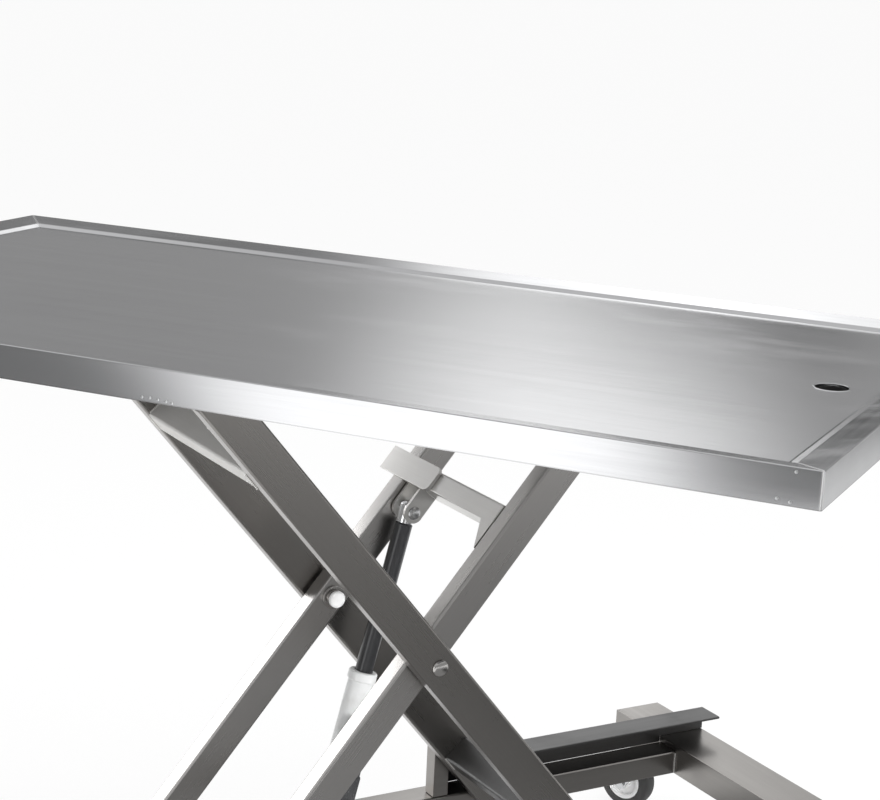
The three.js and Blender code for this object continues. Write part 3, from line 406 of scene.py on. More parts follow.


# The frame is one stainless steel given in lit and shaded copies: the darker tone is painted shade on the outer
# arms, rails and base, and the lighter tone is painted light on the crossbars, brackets and platform.
STEEL = tone(0.6, 0.585, 0.57)
STEEL_DARK = tone(0.47, 0.46, 0.45)
STEEL_LIT = tone(0.78, 0.77, 0.75)
STEEL_LIT_DARK = tone(0.64, 0.63, 0.61)
ALONG_Y = (0, 0, math.radians(90))
STEEL_SHADED = tone(0.37, 0.355, 0.34)
STEEL_SHADED_DARK = tone(0.27, 0.26, 0.25)
ALONG_OUTER = (0, -LIFT_ANGLE, 0)
ALONG_INNER = (0, LIFT_ANGLE, 0)
arm_outer_steel = brushed_steel("satin_steel_outer_arms", STEEL_SHADED, STEEL_SHADED_DARK, 0.28, ALONG_OUTER)
arm_inner_steel = brushed_steel("satin_steel_inner_arms", STEEL, STEEL_DARK, 0.28, ALONG_INNER)
rail_steel = brushed_steel("satin_steel_rails", STEEL_SHADED, STEEL_SHADED_DARK, 0.3)
cross_steel = brushed_steel("satin_steel_crossbars", STEEL_LIT, STEEL_LIT_DARK, 0.3, ALONG_Y)
# Painted light: the upper cross tube gets the light tone with little metal, so that its face looks lit.
painted_light_tube_steel = brushed_steel("painted_light_tube_steel", STEEL_LIT, STEEL_LIT_DARK, 0.5, ALONG_Y, metallic=0.3)
platform_steel = brushed_steel("satin_steel_platform", STEEL_LIT, STEEL_LIT_DARK, 0.38)
base_steel = brushed_steel("satin_steel_base", STEEL_SHADED, STEEL_SHADED_DARK, 0.3, ALONG_Y)
# Painted shade: this near-black copy of the steel darkens the roller channels, the lower cross tube and the
# turntable, which sit in shade.
DEEP_SHADE_TONE = tone(0.2, 0.2, 0.2)
DEEP_SHADE_TONE_DARK = tone(0.12, 0.12, 0.12)
deep_shade_steel = brushed_steel("painted_deep_shade_steel", DEEP_SHADE_TONE, DEEP_SHADE_TONE_DARK, 0.42, wear=0.9)
BRIGHT = tone(0.66, 0.67, 0.68)
BRIGHT_DARK = tone(0.5, 0.5, 0.5)
bright_steel = brushed_steel("bright_turned_steel", BRIGHT, BRIGHT_DARK, 0.24, ALONG_Y)
pin_steel = brushed_steel("dull_pin_steel", STEEL, STEEL_DARK, 0.18, ALONG_Y)
print("brushed finishes: 10")

# %% [markdown]
# The tray is the piece one looks at first. Its floor is brushed along the length, its end pieces across, and
# the mitred corners carry a ground weld that breaks the grain. The four corners are painted nearly white,
# partly for the ground weld and partly as a painted highlight along the corner edge, and a dark band along the
# bottom of the skirt is painted shade at its lower edge. The finish works in the tray's own directions, so
# the coordinates are turned back by the tray's turn first.

# %% Tray finish
TRAY_LENGTH = 1200 * MM
TRAY_WIDTH = 650 * MM
RIM_WIDTH = 29 * MM
RIM_FALL = 4.5 * MM
STEP_WIDTH = 9 * MM
STEP_FALL = 3 * MM
MITRE_WELD = 3.5 * MM
CORNER_WELD_AND_HIGHLIGHT = 3 * MM
HEM_SHADE = 1.6 * MM


def tray_finish():
    paint = Paint("brushed_tray_steel")
    back = Matrix.Rotation(-TOP_TURN, 4, "Z") @ Vector((-TURN_CENTRE.x, -TURN_CENTRE.y, 0))
    place = paint.place((0, 0, -TOP_TURN), back)
    across = paint.place((0, 0, -TOP_TURN + math.radians(90)), back)
    u, v, height = paint.split(place)
    from_end = TRAY_LENGTH / 2 - abs(u)
    from_side = TRAY_WIDTH / 2 - abs(v)
    border = RIM_WIDTH + STEP_WIDTH
    end_piece = (from_end < from_side) * (from_end < border)
    long_grain = grain(paint, place, GRAIN_FINE) * 0.55 + grain(paint, place, GRAIN_BROAD) * 0.45
    end_grain = grain(paint, across, GRAIN_FINE) * 0.55 + grain(paint, across, GRAIN_BROAD) * 0.45
    scratch = long_grain * (1 - end_piece) + end_grain * end_piece
    weld = paint.ramp(abs(from_end - from_side), 0.0, MITRE_WELD, 1.0, 0.0) * (from_end < border)
    # The corners are nearly white: partly the ground weld, partly a painted highlight along the corner edge.
    corner = paint.ramp(from_end + from_side, 0.0, CORNER_WELD_AND_HIGHLIGHT, 1.0, 0.0)
    skirt_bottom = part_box("top_tray")[0].z
    # Painted shade: a dark band along the bottom edge of the skirt.
    hem_shade = paint.ramp(height, skirt_bottom, skirt_bottom + HEM_SHADE, 1.0, 0.0)
    streak = paint.noise(paint.stretched(place, (0.02, 1, 1)), 55.0, 4.0, 0.6)
    cloud = paint.ramp(paint.noise(place, 3.5, 4.0, 0.6), 0.4, 0.7)
    wipe = paint.ramp(paint.noise(paint.stretched(place, (0.35, 1, 1)), 14.0, 3.0, 0.6), 0.5, 0.75)
    wear = scratch * 0.4 + cloud * 0.2 + streak * 0.4
    tint = paint.mix(wear, tone(0.62, 0.625, 0.635), tone(0.46, 0.46, 0.47))
    welded = paint.mix(weld * 0.5, tint, tone(0.74, 0.74, 0.75))
    ground_and_highlight = paint.mix(corner, welded, tone(0.97, 0.97, 0.97))
    paint.set(Base_Color=paint.mix(hem_shade * 0.7, ground_and_highlight, tone(0.3, 0.3, 0.3)),
              Metallic=1.0,
              Roughness=0.1 + scratch * 0.1 + streak * 0.04 + cloud * 0.03 + wipe * 0.05 + weld * 0.12,
              Normal=paint.bump(scratch, 0.1, 0.2 * MM))
    return paint.material


tray_steel = tray_finish()
print("tray finish:", tray_steel.name)

# %% [markdown]
# The other finishes are plain ones with a fine grain: polished chrome at the rod end, black and off-white
# paint on the actuator, a powder coat on its motor, rubber tyres, moulded hubs and nylon rollers.

# %% Paints, rubber and plastics
def fine_finish(name, colour, worn, roughness, metallic=0.0, grit=1500.0, depth=0.15, coat=0.0):
    paint = Paint(name)
    place = paint.place()
    speckle = paint.noise(place, grit, 2.0, 0.5)
    rub = paint.ramp(paint.noise(place, 35.0, 4.0, 0.62), 0.48, 0.75)
    paint.set(Base_Color=paint.mix(rub * 0.7 + speckle * 0.2, colour, worn),
              Metallic=metallic,
              Roughness=roughness + rub * 0.08 + (speckle - 0.5) * 0.1,
              Coat_Weight=coat,
              Normal=paint.bump(speckle, depth, 0.2 * MM))
    return paint.material


chrome = fine_finish("polished_chrome", tone(0.86, 0.87, 0.88), tone(0.75, 0.75, 0.76), 0.08, 1.0,
                     grit=800.0, depth=0.02)
rod_black = fine_finish("black_rod", tone(0.028, 0.029, 0.031), tone(0.05, 0.05, 0.052), 0.3, 0.2,
                        grit=1200.0, depth=0.05, coat=0.3)
barrel_white = fine_finish("off_white_barrel", tone(0.82, 0.83, 0.83), tone(0.7, 0.7, 0.69), 0.35,
                           grit=900.0, depth=0.08)
motor_black = fine_finish("black_powder_coat", tone(0.035, 0.036, 0.038), tone(0.06, 0.06, 0.062), 0.5,
                          grit=1100.0, depth=0.4)
tyre_rubber = fine_finish("grey_rubber", tone(0.055, 0.055, 0.055), tone(0.11, 0.108, 0.104), 0.72,
                          grit=900.0, depth=0.5)
hub_plastic = fine_finish("light_hub", tone(0.92, 0.92, 0.92), tone(0.8, 0.8, 0.79), 0.3,
                          grit=1300.0, depth=0.12)
nylon = fine_finish("black_nylon", tone(0.04, 0.04, 0.042), tone(0.08, 0.08, 0.08), 0.5,
                    grit=1000.0, depth=0.2)
weld_metal = fine_finish("weld_metal", tone(0.8, 0.79, 0.77), tone(0.6, 0.58, 0.55), 0.34, 1.0,
                         grit=420.0, depth=0.3)
drain_dark = fine_finish("drain_shadow", tone(0.012, 0.011, 0.011), tone(0.02, 0.02, 0.02), 0.6)
print("plain finishes: 9")

# %% [markdown]
# Every new piece is finished the same way: the mesh is set in place, its faces are smoothed except over
# sharp edges, it gets its material, it is hung on the body it rides on, and the solids it stands for are
# hidden.

# %% Finishing a piece
SHARP_ANGLE = math.radians(38)


def piece(bm, name, body, material, stands_for=(), place=None, sharp=SHARP_ANGLE):
    if place is not None:
        bmesh.ops.transform(bm, matrix=place, verts=bm.verts)
    data = bpy.data.meshes.new(name)
    bm.to_mesh(data)
    bm.free()
    data.shade_smooth()
    data.set_sharp_from_angle(angle=sharp)
    data.materials.append(material)
    made = bpy.data.objects.new(name, data)
    bpy.context.scene.collection.objects.link(made)
    even = made.modifiers.new("even_shading", "WEIGHTED_NORMAL")
    even.keep_sharp = True
    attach(made, body)
    if stands_for:
        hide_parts(*stands_for)
    return made


def body_of(node):
    bodies = frame["record"]["behaviour"]["bodies"]
    return next(body for body, nodes in bodies.items() if node in nodes)


print("piece tools ready")

# %% [markdown]
# Tubes and folded plates come from rolls and press brakes, so their long corners are round. A copy of the
# solid is merged into whole faces, and its long convex edges get the fold radius. The round edges are what
# catches the light along each tube.

# %% Softened tubes and plates
FLAT = math.radians(1)
CORNER = math.radians(40)
MERGE = 0.01 * MM


def merged_copy(node):
    bm = bmesh.new()
    bm.from_mesh(frame["nodes"][node].data)
    bmesh.ops.remove_doubles(bm, verts=bm.verts, dist=MERGE)
    bmesh.ops.dissolve_limit(bm, angle_limit=FLAT, verts=bm.verts, edges=bm.edges)
    return bm


def corners(bm):
    return [edge for edge in bm.edges if edge.is_manifold and edge.calc_face_angle() > CORNER]


def verts_in(geometry):
    return [item for item in geometry if isinstance(item, bmesh.types.BMVert)]


def round_edges(bm, edges, radius, segments):
    bmesh.ops.bevel(bm, geom=edges, offset=radius, segments=segments, profile=0.5, material=-1,
                    affect="EDGES", clamp_overlap=True)


def thickened(points, shift):
    bm = bmesh.new()
    face = bm.faces.new([bm.verts.new(point) for point in points])
    grown = bmesh.ops.extrude_face_region(bm, geom=[face])["geom"]
    bmesh.ops.translate(bm, vec=shift, verts=verts_in(grown))
    bmesh.ops.recalc_face_normals(bm, faces=bm.faces)
    return bm


def softened(node, material, fold, fold_length):
    bm = merged_copy(node)
    folds = [edge for edge in corners(bm) if edge.is_convex and edge.calc_length() > fold_length]
    round_edges(bm, folds, fold, 3)
    piece(bm, f"{node}_rounded", body_of(node), material, [node])


ARM_FOLD = 3 * MM
PLATE_FOLD = 1 * MM
LONG = 60 * MM
for side, _ in SIDES:
    softened(f"outer_arm_{side}", arm_outer_steel, ARM_FOLD, LONG)
    softened(f"inner_arm_{side}", arm_inner_steel, ARM_FOLD, LONG)
    softened(f"side_tube_{side}", rail_steel, ARM_FOLD, LONG)
    softened(f"roller_guide_{side}", deep_shade_steel, PLATE_FOLD, LONG)
    softened(f"stop_post_{side}", rail_steel, PLATE_FOLD, 10 * MM)
    softened(f"base_hinge_lug_{side}", rail_steel, PLATE_FOLD, 20 * MM)
    softened(f"platform_rail_{side}", platform_steel, PLATE_FOLD, LONG)
    softened(f"top_stiffener_{side}", platform_steel, PLATE_FOLD, LONG)
for node in ("crossbar_right", "crossbar_left", "actuator_cross_tube"):
    softened(node, base_steel, ARM_FOLD, LONG)
softened("outer_lower_cross_tube", deep_shade_steel, ARM_FOLD, LONG)
softened("outer_upper_cross_tube", painted_light_tube_steel, ARM_FOLD, LONG)
softened("lift_crossbar", cross_steel, ARM_FOLD, LONG)
for node in ("platform_hinge_bracket", "platform_end_bar"):
    softened(node, platform_steel, PLATE_FOLD, 15 * MM)
softened("clevis_saddle", cross_steel, PLATE_FOLD, 15 * MM)
softened("actuator_foot_bracket", cross_steel, PLATE_FOLD, 15 * MM)

# %% [markdown]
# The tray is folded from one sheet: a rim that slopes inwards, a narrow pressed step, the floor, and a skirt
# turned down all round. It starts as one rectangle that is inset twice, which makes the mitres by itself.
# The drain is a circle let into the floor, with its lip drawn down into the spout.

# %% Tray
SHEET = 2 * MM
SKIRT = 32 * MM
RIM_FOLD = 2.5 * MM
STEP_FOLD = 1.2 * MM
CORNER_FOLD = 2 * MM
DRAIN_RADIUS = 15.5
DRAIN_FROM_END = 81 * MM
DRAIN_LIP = ((18.0, 0.0), (17.3, 0.4), (16.4, 0.5), (15.7, 0.0), (DRAIN_RADIUS, -1.6))
DRAIN_SIDES = 64
FOLD_SEGMENTS = 10
TRAY_SHARP = math.radians(11)


def level_edges(bm, height):
    return [edge for edge in bm.edges if all(abs(vert.co.z - height) < MERGE for vert in edge.verts)]


def add_drain(bm, height):
    centre = Vector((TRAY_LENGTH / 2 - DRAIN_FROM_END, 0, height))
    ring = bmesh.ops.create_circle(bm, cap_ends=False, radius=DRAIN_LIP[0][0] * MM, segments=DRAIN_SIDES,
                                   matrix=Matrix.Translation(centre))
    ring_edges = list({edge for vert in ring["verts"] for edge in vert.link_edges})
    outline = [edge for edge in level_edges(bm, height) if edge.is_boundary]
    border = list(set(outline + ring_edges))
    bmesh.ops.triangle_fill(bm, use_beauty=True, use_dissolve=False, edges=border, normal=(0, 0, 1))
    for (before, _), (radius, lift) in zip(DRAIN_LIP, DRAIN_LIP[1:]):
        made = bmesh.ops.extrude_edge_only(bm, edges=ring_edges)["geom"]
        verts = verts_in(made)
        ring_edges = [item for item in made if isinstance(item, bmesh.types.BMEdge)
                      and all(vert in verts for vert in item.verts)]
        shrink = radius / before
        bmesh.ops.scale(bm, vec=(shrink, shrink, 1), space=Matrix.Translation(-centre), verts=verts)
        for vert in verts:
            vert.co.z = height + lift * MM


def build_tray():
    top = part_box("top_tray")[1].z
    bm = bmesh.new()
    bmesh.ops.create_grid(bm, x_segments=1, y_segments=1, size=0.5)
    bmesh.ops.scale(bm, vec=(TRAY_LENGTH, TRAY_WIDTH, 1), verts=bm.verts)
    bmesh.ops.translate(bm, vec=(0, 0, top), verts=bm.verts)
    bm.faces.ensure_lookup_table()
    floor_face = bm.faces[0]
    bmesh.ops.inset_region(bm, faces=[floor_face], thickness=RIM_WIDTH, depth=0, use_boundary=True,
                           use_even_offset=True)
    bmesh.ops.translate(bm, vec=(0, 0, -RIM_FALL), verts=floor_face.verts)
    bmesh.ops.inset_region(bm, faces=[floor_face], thickness=STEP_WIDTH, depth=0, use_boundary=True,
                           use_even_offset=True)
    bmesh.ops.translate(bm, vec=(0, 0, -STEP_FALL), verts=floor_face.verts)
    floor_height = top - RIM_FALL - STEP_FALL
    bmesh.ops.delete(bm, geom=[floor_face], context="FACES_ONLY")
    add_drain(bm, floor_height)
    rim = [edge for edge in level_edges(bm, top) if edge.is_boundary]
    made = bmesh.ops.extrude_edge_only(bm, edges=rim)["geom"]
    bmesh.ops.translate(bm, vec=(0, 0, -SKIRT), verts=verts_in(made))
    bmesh.ops.recalc_face_normals(bm, faces=bm.faces)
    upright = [edge for edge in bm.edges if edge.is_manifold
               and abs(abs(edge.verts[0].co.z - edge.verts[1].co.z) - SKIRT) < MERGE]
    round_edges(bm, upright, CORNER_FOLD, FOLD_SEGMENTS)
    round_edges(bm, [edge for edge in level_edges(bm, top) if edge.is_manifold], RIM_FOLD, FOLD_SEGMENTS)
    for height in (top - RIM_FALL, floor_height):
        step = [edge for edge in level_edges(bm, height) if edge.is_manifold
                and edge.calc_length() > 10 * RIM_WIDTH and edge.calc_face_angle() > FLAT]
        round_edges(bm, step, STEP_FOLD, 3)
    tray = piece(bm, "tray_sheet", "top", tray_steel, ["top_tray"], tray_frame, TRAY_SHARP)
    sheet = tray.modifiers.new("sheet", "SOLIDIFY")
    sheet.thickness = SHEET
    sheet.offset = -1
    sheet.use_even_offset = False
    tray.modifiers.move(1, 0)
    return tray


tray = build_tray()
print("tray faces:", len(tray.data.polygons))

# %% [markdown]
# Pins, rollers, wheels, the actuator and the turntable are turned parts. Half an outline, spun once round
# its axis, gives each of them, and its sharp rings get a small chamfer. The solids have flat-sided rounds, so
# each turned piece stands for its solid.

# %% Turned pieces
ROUND_SIDES = 64
CHAMFER = 0.5 * MM
DOME_STEPS = 6


def turned(profile, chamfer=CHAMFER, sides=ROUND_SIDES):
    bm = bmesh.new()
    verts = [bm.verts.new((radius * MM, 0, along * MM)) for radius, along in profile]
    edges = [bm.edges.new(pair) for pair in zip(verts, verts[1:])]
    bmesh.ops.spin(bm, geom=verts + edges, cent=(0, 0, 0), axis=(0, 0, 1), angle=2 * math.pi, steps=sides,
                   use_merge=True)
    bmesh.ops.remove_doubles(bm, verts=bm.verts, dist=MERGE)
    bmesh.ops.recalc_face_normals(bm, faces=bm.faces)
    if chamfer:
        round_edges(bm, corners(bm), chamfer, 2)
    return bm


def ring(profile):
    return list(profile) + [profile[0]]


def mirrored(profile):
    return [(radius, -along) for radius, along in reversed(profile)]


def heights(node):
    return [corner.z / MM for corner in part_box(node)]


def along_y(x, z, y=0.0):
    return Matrix.Translation((x, y, z)) @ Matrix.Rotation(math.radians(-90), 4, "X")


def dome(radius, base, height):
    angles = [math.pi / 2 * step / DOME_STEPS for step in range(DOME_STEPS + 1)]
    return [(radius * math.cos(angle), base + height * math.sin(angle)) for angle in angles]


def turned_piece(name, profile, node, material, place, chamfer=CHAMFER):
    return piece(turned(profile, chamfer), name, body_of(node), material, [node], place)


print("turned pieces ready,", ROUND_SIDES, "sides")

# %% [markdown]
# The middle pivots are pins with a domed head outside, a spacer between the arms and a welded collar inside.
# The lower hinge shaft has a plain head at each end, and the upper one ends inside the arms. All of them lie
# along Y.

# %% Pins and shafts
PIN_RADIUS = 8
PIN_HEAD_RADIUS = 9
PIN_COLLAR_RADIUS = 13
PIN_HEAD_RIM = 1.0
SHAFT_HEAD_RADIUS = 12
SHAFT_HEAD = 4
ARM_FACES = {"inner_arm": (93.5, 117.5), "outer_arm": (122.0, 146.0)}
SEAT_GAP = 0.3


def pivot_profile(inner_end, outer_end):
    inner_in, inner_out = ARM_FACES["inner_arm"]
    outer_in, outer_out = ARM_FACES["outer_arm"]
    seat = outer_out + SEAT_GAP
    collar_start = inner_in - SEAT_GAP - 3
    crown = dome(PIN_HEAD_RADIUS, seat + PIN_HEAD_RIM, outer_end - seat - PIN_HEAD_RIM)
    return [(0, inner_end), (PIN_RADIUS, inner_end), (PIN_RADIUS, collar_start),
            (PIN_COLLAR_RADIUS, collar_start), (PIN_COLLAR_RADIUS, inner_in - SEAT_GAP),
            (PIN_RADIUS, inner_in - SEAT_GAP), (PIN_RADIUS, inner_out + SEAT_GAP),
            (PIN_COLLAR_RADIUS, inner_out + SEAT_GAP), (PIN_COLLAR_RADIUS, outer_in - SEAT_GAP),
            (PIN_RADIUS, outer_in - SEAT_GAP), (PIN_RADIUS, seat), (PIN_HEAD_RADIUS, seat)] + crown


def both_ends(half):
    return mirrored(half) + half


for side, sign in SIDES:
    low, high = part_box(f"pivot_pin_{side}")
    reach = sorted((abs(low.y) / MM, abs(high.y) / MM))
    profile = [(radius, sign * along) for radius, along in pivot_profile(*reach)]
    turned_piece(f"pivot_bolt_{side}", profile, f"pivot_pin_{side}", pin_steel, along_y(PIVOT.x, PIVOT.z))

base_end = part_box("base_hinge_shaft")[1].y / MM
base_seat = base_end - SHAFT_HEAD
headed = both_ends([(PIN_RADIUS, base_seat), (SHAFT_HEAD_RADIUS, base_seat), (SHAFT_HEAD_RADIUS, base_end),
                    (0, base_end)])
turned_piece("base_hinge_rod", headed, "base_hinge_shaft", bright_steel, along_y(HINGE.x, HINGE.z), 1 * MM)
platform_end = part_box("platform_hinge_shaft")[1].y / MM
plain = both_ends([(PIN_RADIUS, platform_end), (0, platform_end)])
platform_hinge = joint_place("platform_level")
turned_piece("platform_hinge_rod", plain, "platform_hinge_shaft", bright_steel,
             along_y(platform_hinge.x, platform_hinge.z), 1 * MM)

for node, radius, head_radius, head in (("clevis_pin", 5, 7.5, 3), ("actuator_foot_pin", 5, 8, 3)):
    low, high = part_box(node)
    place = (low + high) / 2
    start, end = low.y / MM, high.y / MM
    seat = start + head
    cap = [(width, seat - (rise - start)) for width, rise in dome(head_radius, start, head)]
    profile = list(reversed(cap)) + [(radius, seat), (radius, end - 1), (radius - 1, end), (0, end)]
    turned_piece(f"{node}_turned", profile, node, bright_steel, along_y(place.x, place.z), 0.3 * MM)
print("pins and shafts: 6")

# %% [markdown]
# Nylon rollers run in the channels. Each is a short ring with chamfered rims and a shallow groove left by
# its mould.

# %% Rollers
ROLLER_RADIUS = 16.5
ROLLER_BORE = 6.3
ROLLER_HALF = 8
ROLLER_DISH = 1.2
ROLLER_RIM = ROLLER_RADIUS - 4
ROLLER_HUB = ROLLER_BORE + 2.5
DISH_SLOPE = 0.6

dish = ROLLER_HALF - ROLLER_DISH
half = [(ROLLER_BORE, ROLLER_HALF), (ROLLER_HUB, ROLLER_HALF), (ROLLER_HUB + DISH_SLOPE, dish),
        (ROLLER_RIM - DISH_SLOPE, dish), (ROLLER_RIM, ROLLER_HALF), (ROLLER_RADIUS, ROLLER_HALF)]
profile = ring([(radius, -along) for radius, along in half] + list(reversed(half)))
for level in ("lower", "upper"):
    for side, _ in SIDES:
        node = f"{level}_roller_{side}"
        middle = joint_place(f"{level}_roller_spin_{side}")
        turned_piece(f"{node}_turned", profile, node, nylon, along_y(middle.x, middle.z, middle.y), 0.6 * MM)
print("rollers: 4")

# %% [markdown]
# The actuator hangs from the clevis pin: a chromed eye, a black rod, and a barrel with a collar that wipes
# the rod. The motor stands beside the barrel on a common gear casing, with a cable gland and the eye at the
# foot.

# %% Actuator
ROD_RADIUS = 10
EYE_RADIUS = 9.5
EYE_TOP = 11
EYE_BOTTOM = -15
ROD_TOP = EYE_BOTTOM - 0.3
ROD_END = -202
BARREL_TOP = -187
BARREL_RADIUS = 14.5
BARREL_COLLAR_RADIUS = 16.2
BARREL_BORE = 10.3
foot_low, foot_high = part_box("actuator_foot_pin")
foot_reach = CLEVIS_PIN - (foot_low + foot_high) / 2
FOOT = -math.hypot(foot_reach.x, foot_reach.z) / MM
HOUSING_BOTTOM = FOOT + 28
HOUSING_TOP = HOUSING_BOTTOM + 40
HOUSING_RADIUS = 16
MOTOR_END_RADIUS = 15.5
MOTOR_X = -4
MOTOR_Y = -29.7
MOTOR_RADIUS = 14
MOTOR_WAIST = 13.5
MOTOR_LENGTH = 62
MOTOR_SINK = 3
INLET_RISE = 8
GLAND_START = 40
GLAND_END = 53
GLAND_RADIUS = 7.4
GLAND_NUT = 6
GLAND_BORE = 2.6
FOOT_EYE_BORE = 15
FOOT_EYE_RADIUS = 21
FOOT_EYE_HALF = 10
CAPSULE_STEPS = 32

eye_profile = [(0, EYE_BOTTOM), (EYE_RADIUS - 0.8, EYE_BOTTOM), (EYE_RADIUS, EYE_BOTTOM + 0.8)]
eye_profile += dome(EYE_RADIUS, 5, EYE_TOP - 5)
turned_piece("rod_eye", eye_profile, "actuator_rod_eye", chrome, actuator_frame, 0)
rod_profile = [(0, ROD_END), (ROD_RADIUS, ROD_END), (ROD_RADIUS, ROD_TOP - 1), (ROD_RADIUS - 1, ROD_TOP),
               (0, ROD_TOP)]
turned_piece("black_rod", rod_profile, "actuator_rod", rod_black, actuator_frame, 0)
barrel_profile = ring([(BARREL_BORE, HOUSING_TOP + 0.3), (BARREL_RADIUS, HOUSING_TOP + 0.3),
                       (BARREL_RADIUS, BARREL_TOP - 11), (BARREL_COLLAR_RADIUS, BARREL_TOP - 10),
                       (BARREL_COLLAR_RADIUS, BARREL_TOP - 1.5), (BARREL_COLLAR_RADIUS - 1.5, BARREL_TOP),
                       (BARREL_BORE, BARREL_TOP)])
turned_piece("white_barrel", barrel_profile, "actuator_barrel", barrel_white, actuator_frame, 0.4 * MM)


def block(x, y, z, fold, segments=3):
    bm = bmesh.new()
    bmesh.ops.create_cube(bm, size=1)
    spans = [(low * MM, high * MM) for low, high in (x, y, z)]
    bmesh.ops.scale(bm, vec=[high - low for low, high in spans], verts=bm.verts)
    bmesh.ops.translate(bm, vec=[(low + high) / 2 for low, high in spans], verts=bm.verts)
    round_edges(bm, bm.edges[:], fold * MM, segments)
    return bm


def actuator_part(bm, name, place=Matrix(), material=motor_black):
    piece(bm, name, "actuator_barrel", material, ["actuator_motor"], actuator_frame @ place)


def capsule(first, second, z, fold):
    toward = math.atan2(second[1] - first[1], second[0] - first[0])
    outline = []
    for (x, y, radius), start in ((first, 90), (second, -90)):
        for step in range(CAPSULE_STEPS + 1):
            angle = toward + math.radians(start + 180 * step / CAPSULE_STEPS)
            outline.append((x + radius * math.cos(angle), y + radius * math.sin(angle)))
    bm = thickened([(x * MM, y * MM, z[0] * MM) for x, y in outline], (0, 0, (z[1] - z[0]) * MM))
    round_edges(bm, corners(bm), fold * MM, 3)
    return bm


casing = capsule((0, 0, HOUSING_RADIUS), (MOTOR_X, MOTOR_Y, MOTOR_END_RADIUS),
                 (HOUSING_BOTTOM, HOUSING_TOP), 2)
actuator_part(casing, "gear_casing")
beside = Matrix.Translation((MOTOR_X * MM, MOTOR_Y * MM, HOUSING_TOP * MM))
motor_profile = [(0, -MOTOR_SINK), (MOTOR_RADIUS, -MOTOR_SINK), (MOTOR_RADIUS, 8), (MOTOR_WAIST, 8.5),
                 (MOTOR_WAIST, 51), (MOTOR_RADIUS, 51.5), (MOTOR_RADIUS, 60),
                 (MOTOR_RADIUS - 2, MOTOR_LENGTH), (0, MOTOR_LENGTH)]
actuator_part(turned(motor_profile), "motor_can", beside)
inlet_place = Matrix.Translation((MOTOR_X * MM, 0, (HOUSING_BOTTOM + INLET_RISE) * MM))
inlet_place = inlet_place @ QUARTER_X
gland_profile = [(0, GLAND_START), (GLAND_RADIUS, GLAND_START), (GLAND_RADIUS, 46.5), (GLAND_NUT, 46.5),
                 (GLAND_NUT, GLAND_END - 1), (GLAND_NUT - 1, GLAND_END), (GLAND_BORE, GLAND_END),
                 (GLAND_BORE, GLAND_END - 3), (0, GLAND_END - 3)]
actuator_part(turned(gland_profile, 0.2 * MM, 24), "cable_gland", inlet_place)
actuator_part(block((-12, 12), (-10, 10), (FOOT + 16, HOUSING_BOTTOM + 2), 1.5), "foot_neck")
eye_at_foot = Matrix.Translation((0, 0, FOOT * MM)) @ QUARTER_X
foot_eye = ring([(FOOT_EYE_BORE, -FOOT_EYE_HALF), (FOOT_EYE_RADIUS, -FOOT_EYE_HALF),
                 (FOOT_EYE_RADIUS, FOOT_EYE_HALF), (FOOT_EYE_BORE, FOOT_EYE_HALF)])
actuator_part(turned(foot_eye, 0.8 * MM), "foot_eye", eye_at_foot)
print("actuator: 8 pieces, foot at", round(FOOT, 1), "mm")

# %% [markdown]
# The turntable is two plates with a turned race. Below the tray sit the flanged spout of the drain and the
# heads of the casters, all turned about upright axes.

# %% Turntable, spout and caster heads
PLATE_RADIUS = 130
PLATE_BORE = 86
PLATE = 4
LOWER_RACE = 100
RACE_GAP = 0.3
UPPER_RACE = 114
SPOUT_RADIUS = DRAIN_RADIUS + 2
FLANGE_RADIUS = DRAIN_RADIUS + 9
FLANGE = 2
HEAD_RADIUS = 26

turn_axis = Matrix.Translation((TURN_CENTRE.x, TURN_CENTRE.y, 0))
low, high = heights("turntable_lower_ring")
lower_profile = ring([(PLATE_BORE, low), (PLATE_RADIUS, low), (PLATE_RADIUS, low + PLATE),
                      (LOWER_RACE, low + PLATE), (LOWER_RACE, high), (PLATE_BORE, high)])
turned_piece("turntable_race", lower_profile, "turntable_lower_ring", deep_shade_steel, turn_axis)
low, high = heights("turntable_upper_ring")
under = high - PLATE
inside = LOWER_RACE + RACE_GAP
upper_profile = ring([(inside, low), (UPPER_RACE, low), (UPPER_RACE, under), (PLATE_RADIUS, under),
                      (PLATE_RADIUS, high), (PLATE_BORE, high), (PLATE_BORE, under), (inside, under)])
turned_piece("turntable_plate", upper_profile, "turntable_upper_ring", deep_shade_steel, turn_axis)

drain_axis = tray_frame @ Matrix.Translation((TRAY_LENGTH / 2 - DRAIN_FROM_END, 0, 0))
low, high = heights("drain_spout")
spout_profile = ring([(DRAIN_RADIUS, low), (SPOUT_RADIUS, low), (SPOUT_RADIUS, high - FLANGE),
                      (FLANGE_RADIUS, high - FLANGE), (FLANGE_RADIUS, high), (DRAIN_RADIUS, high)])
spout = turned_piece("drain_outlet", spout_profile, "drain_spout", bright_steel, drain_axis, 0.4 * MM)
# Painted shade: the bore of the spout is painted near-black.
spout.data.materials.append(drain_dark)
axis_place = drain_axis.translation
for face in spout.data.polygons:
    from_axis = (Vector(face.center) - axis_place).to_2d().length
    if from_axis < (DRAIN_RADIUS + 0.3) * MM:
        face.material_index = 1

for place in PLACES:
    low, high = heights(f"caster_head_{place}")
    head_profile = [(0, low), (HEAD_RADIUS - 2, low), (HEAD_RADIUS - 1, low + 2), (HEAD_RADIUS, low + 3),
                    (HEAD_RADIUS, high - 2.5), (HEAD_RADIUS - 2, high), (0, high)]
    turned_piece(f"caster_race_{place}", head_profile, f"caster_head_{place}", bright_steel,
                 caster_frame(place))
print("turntable, spout and 4 caster heads")

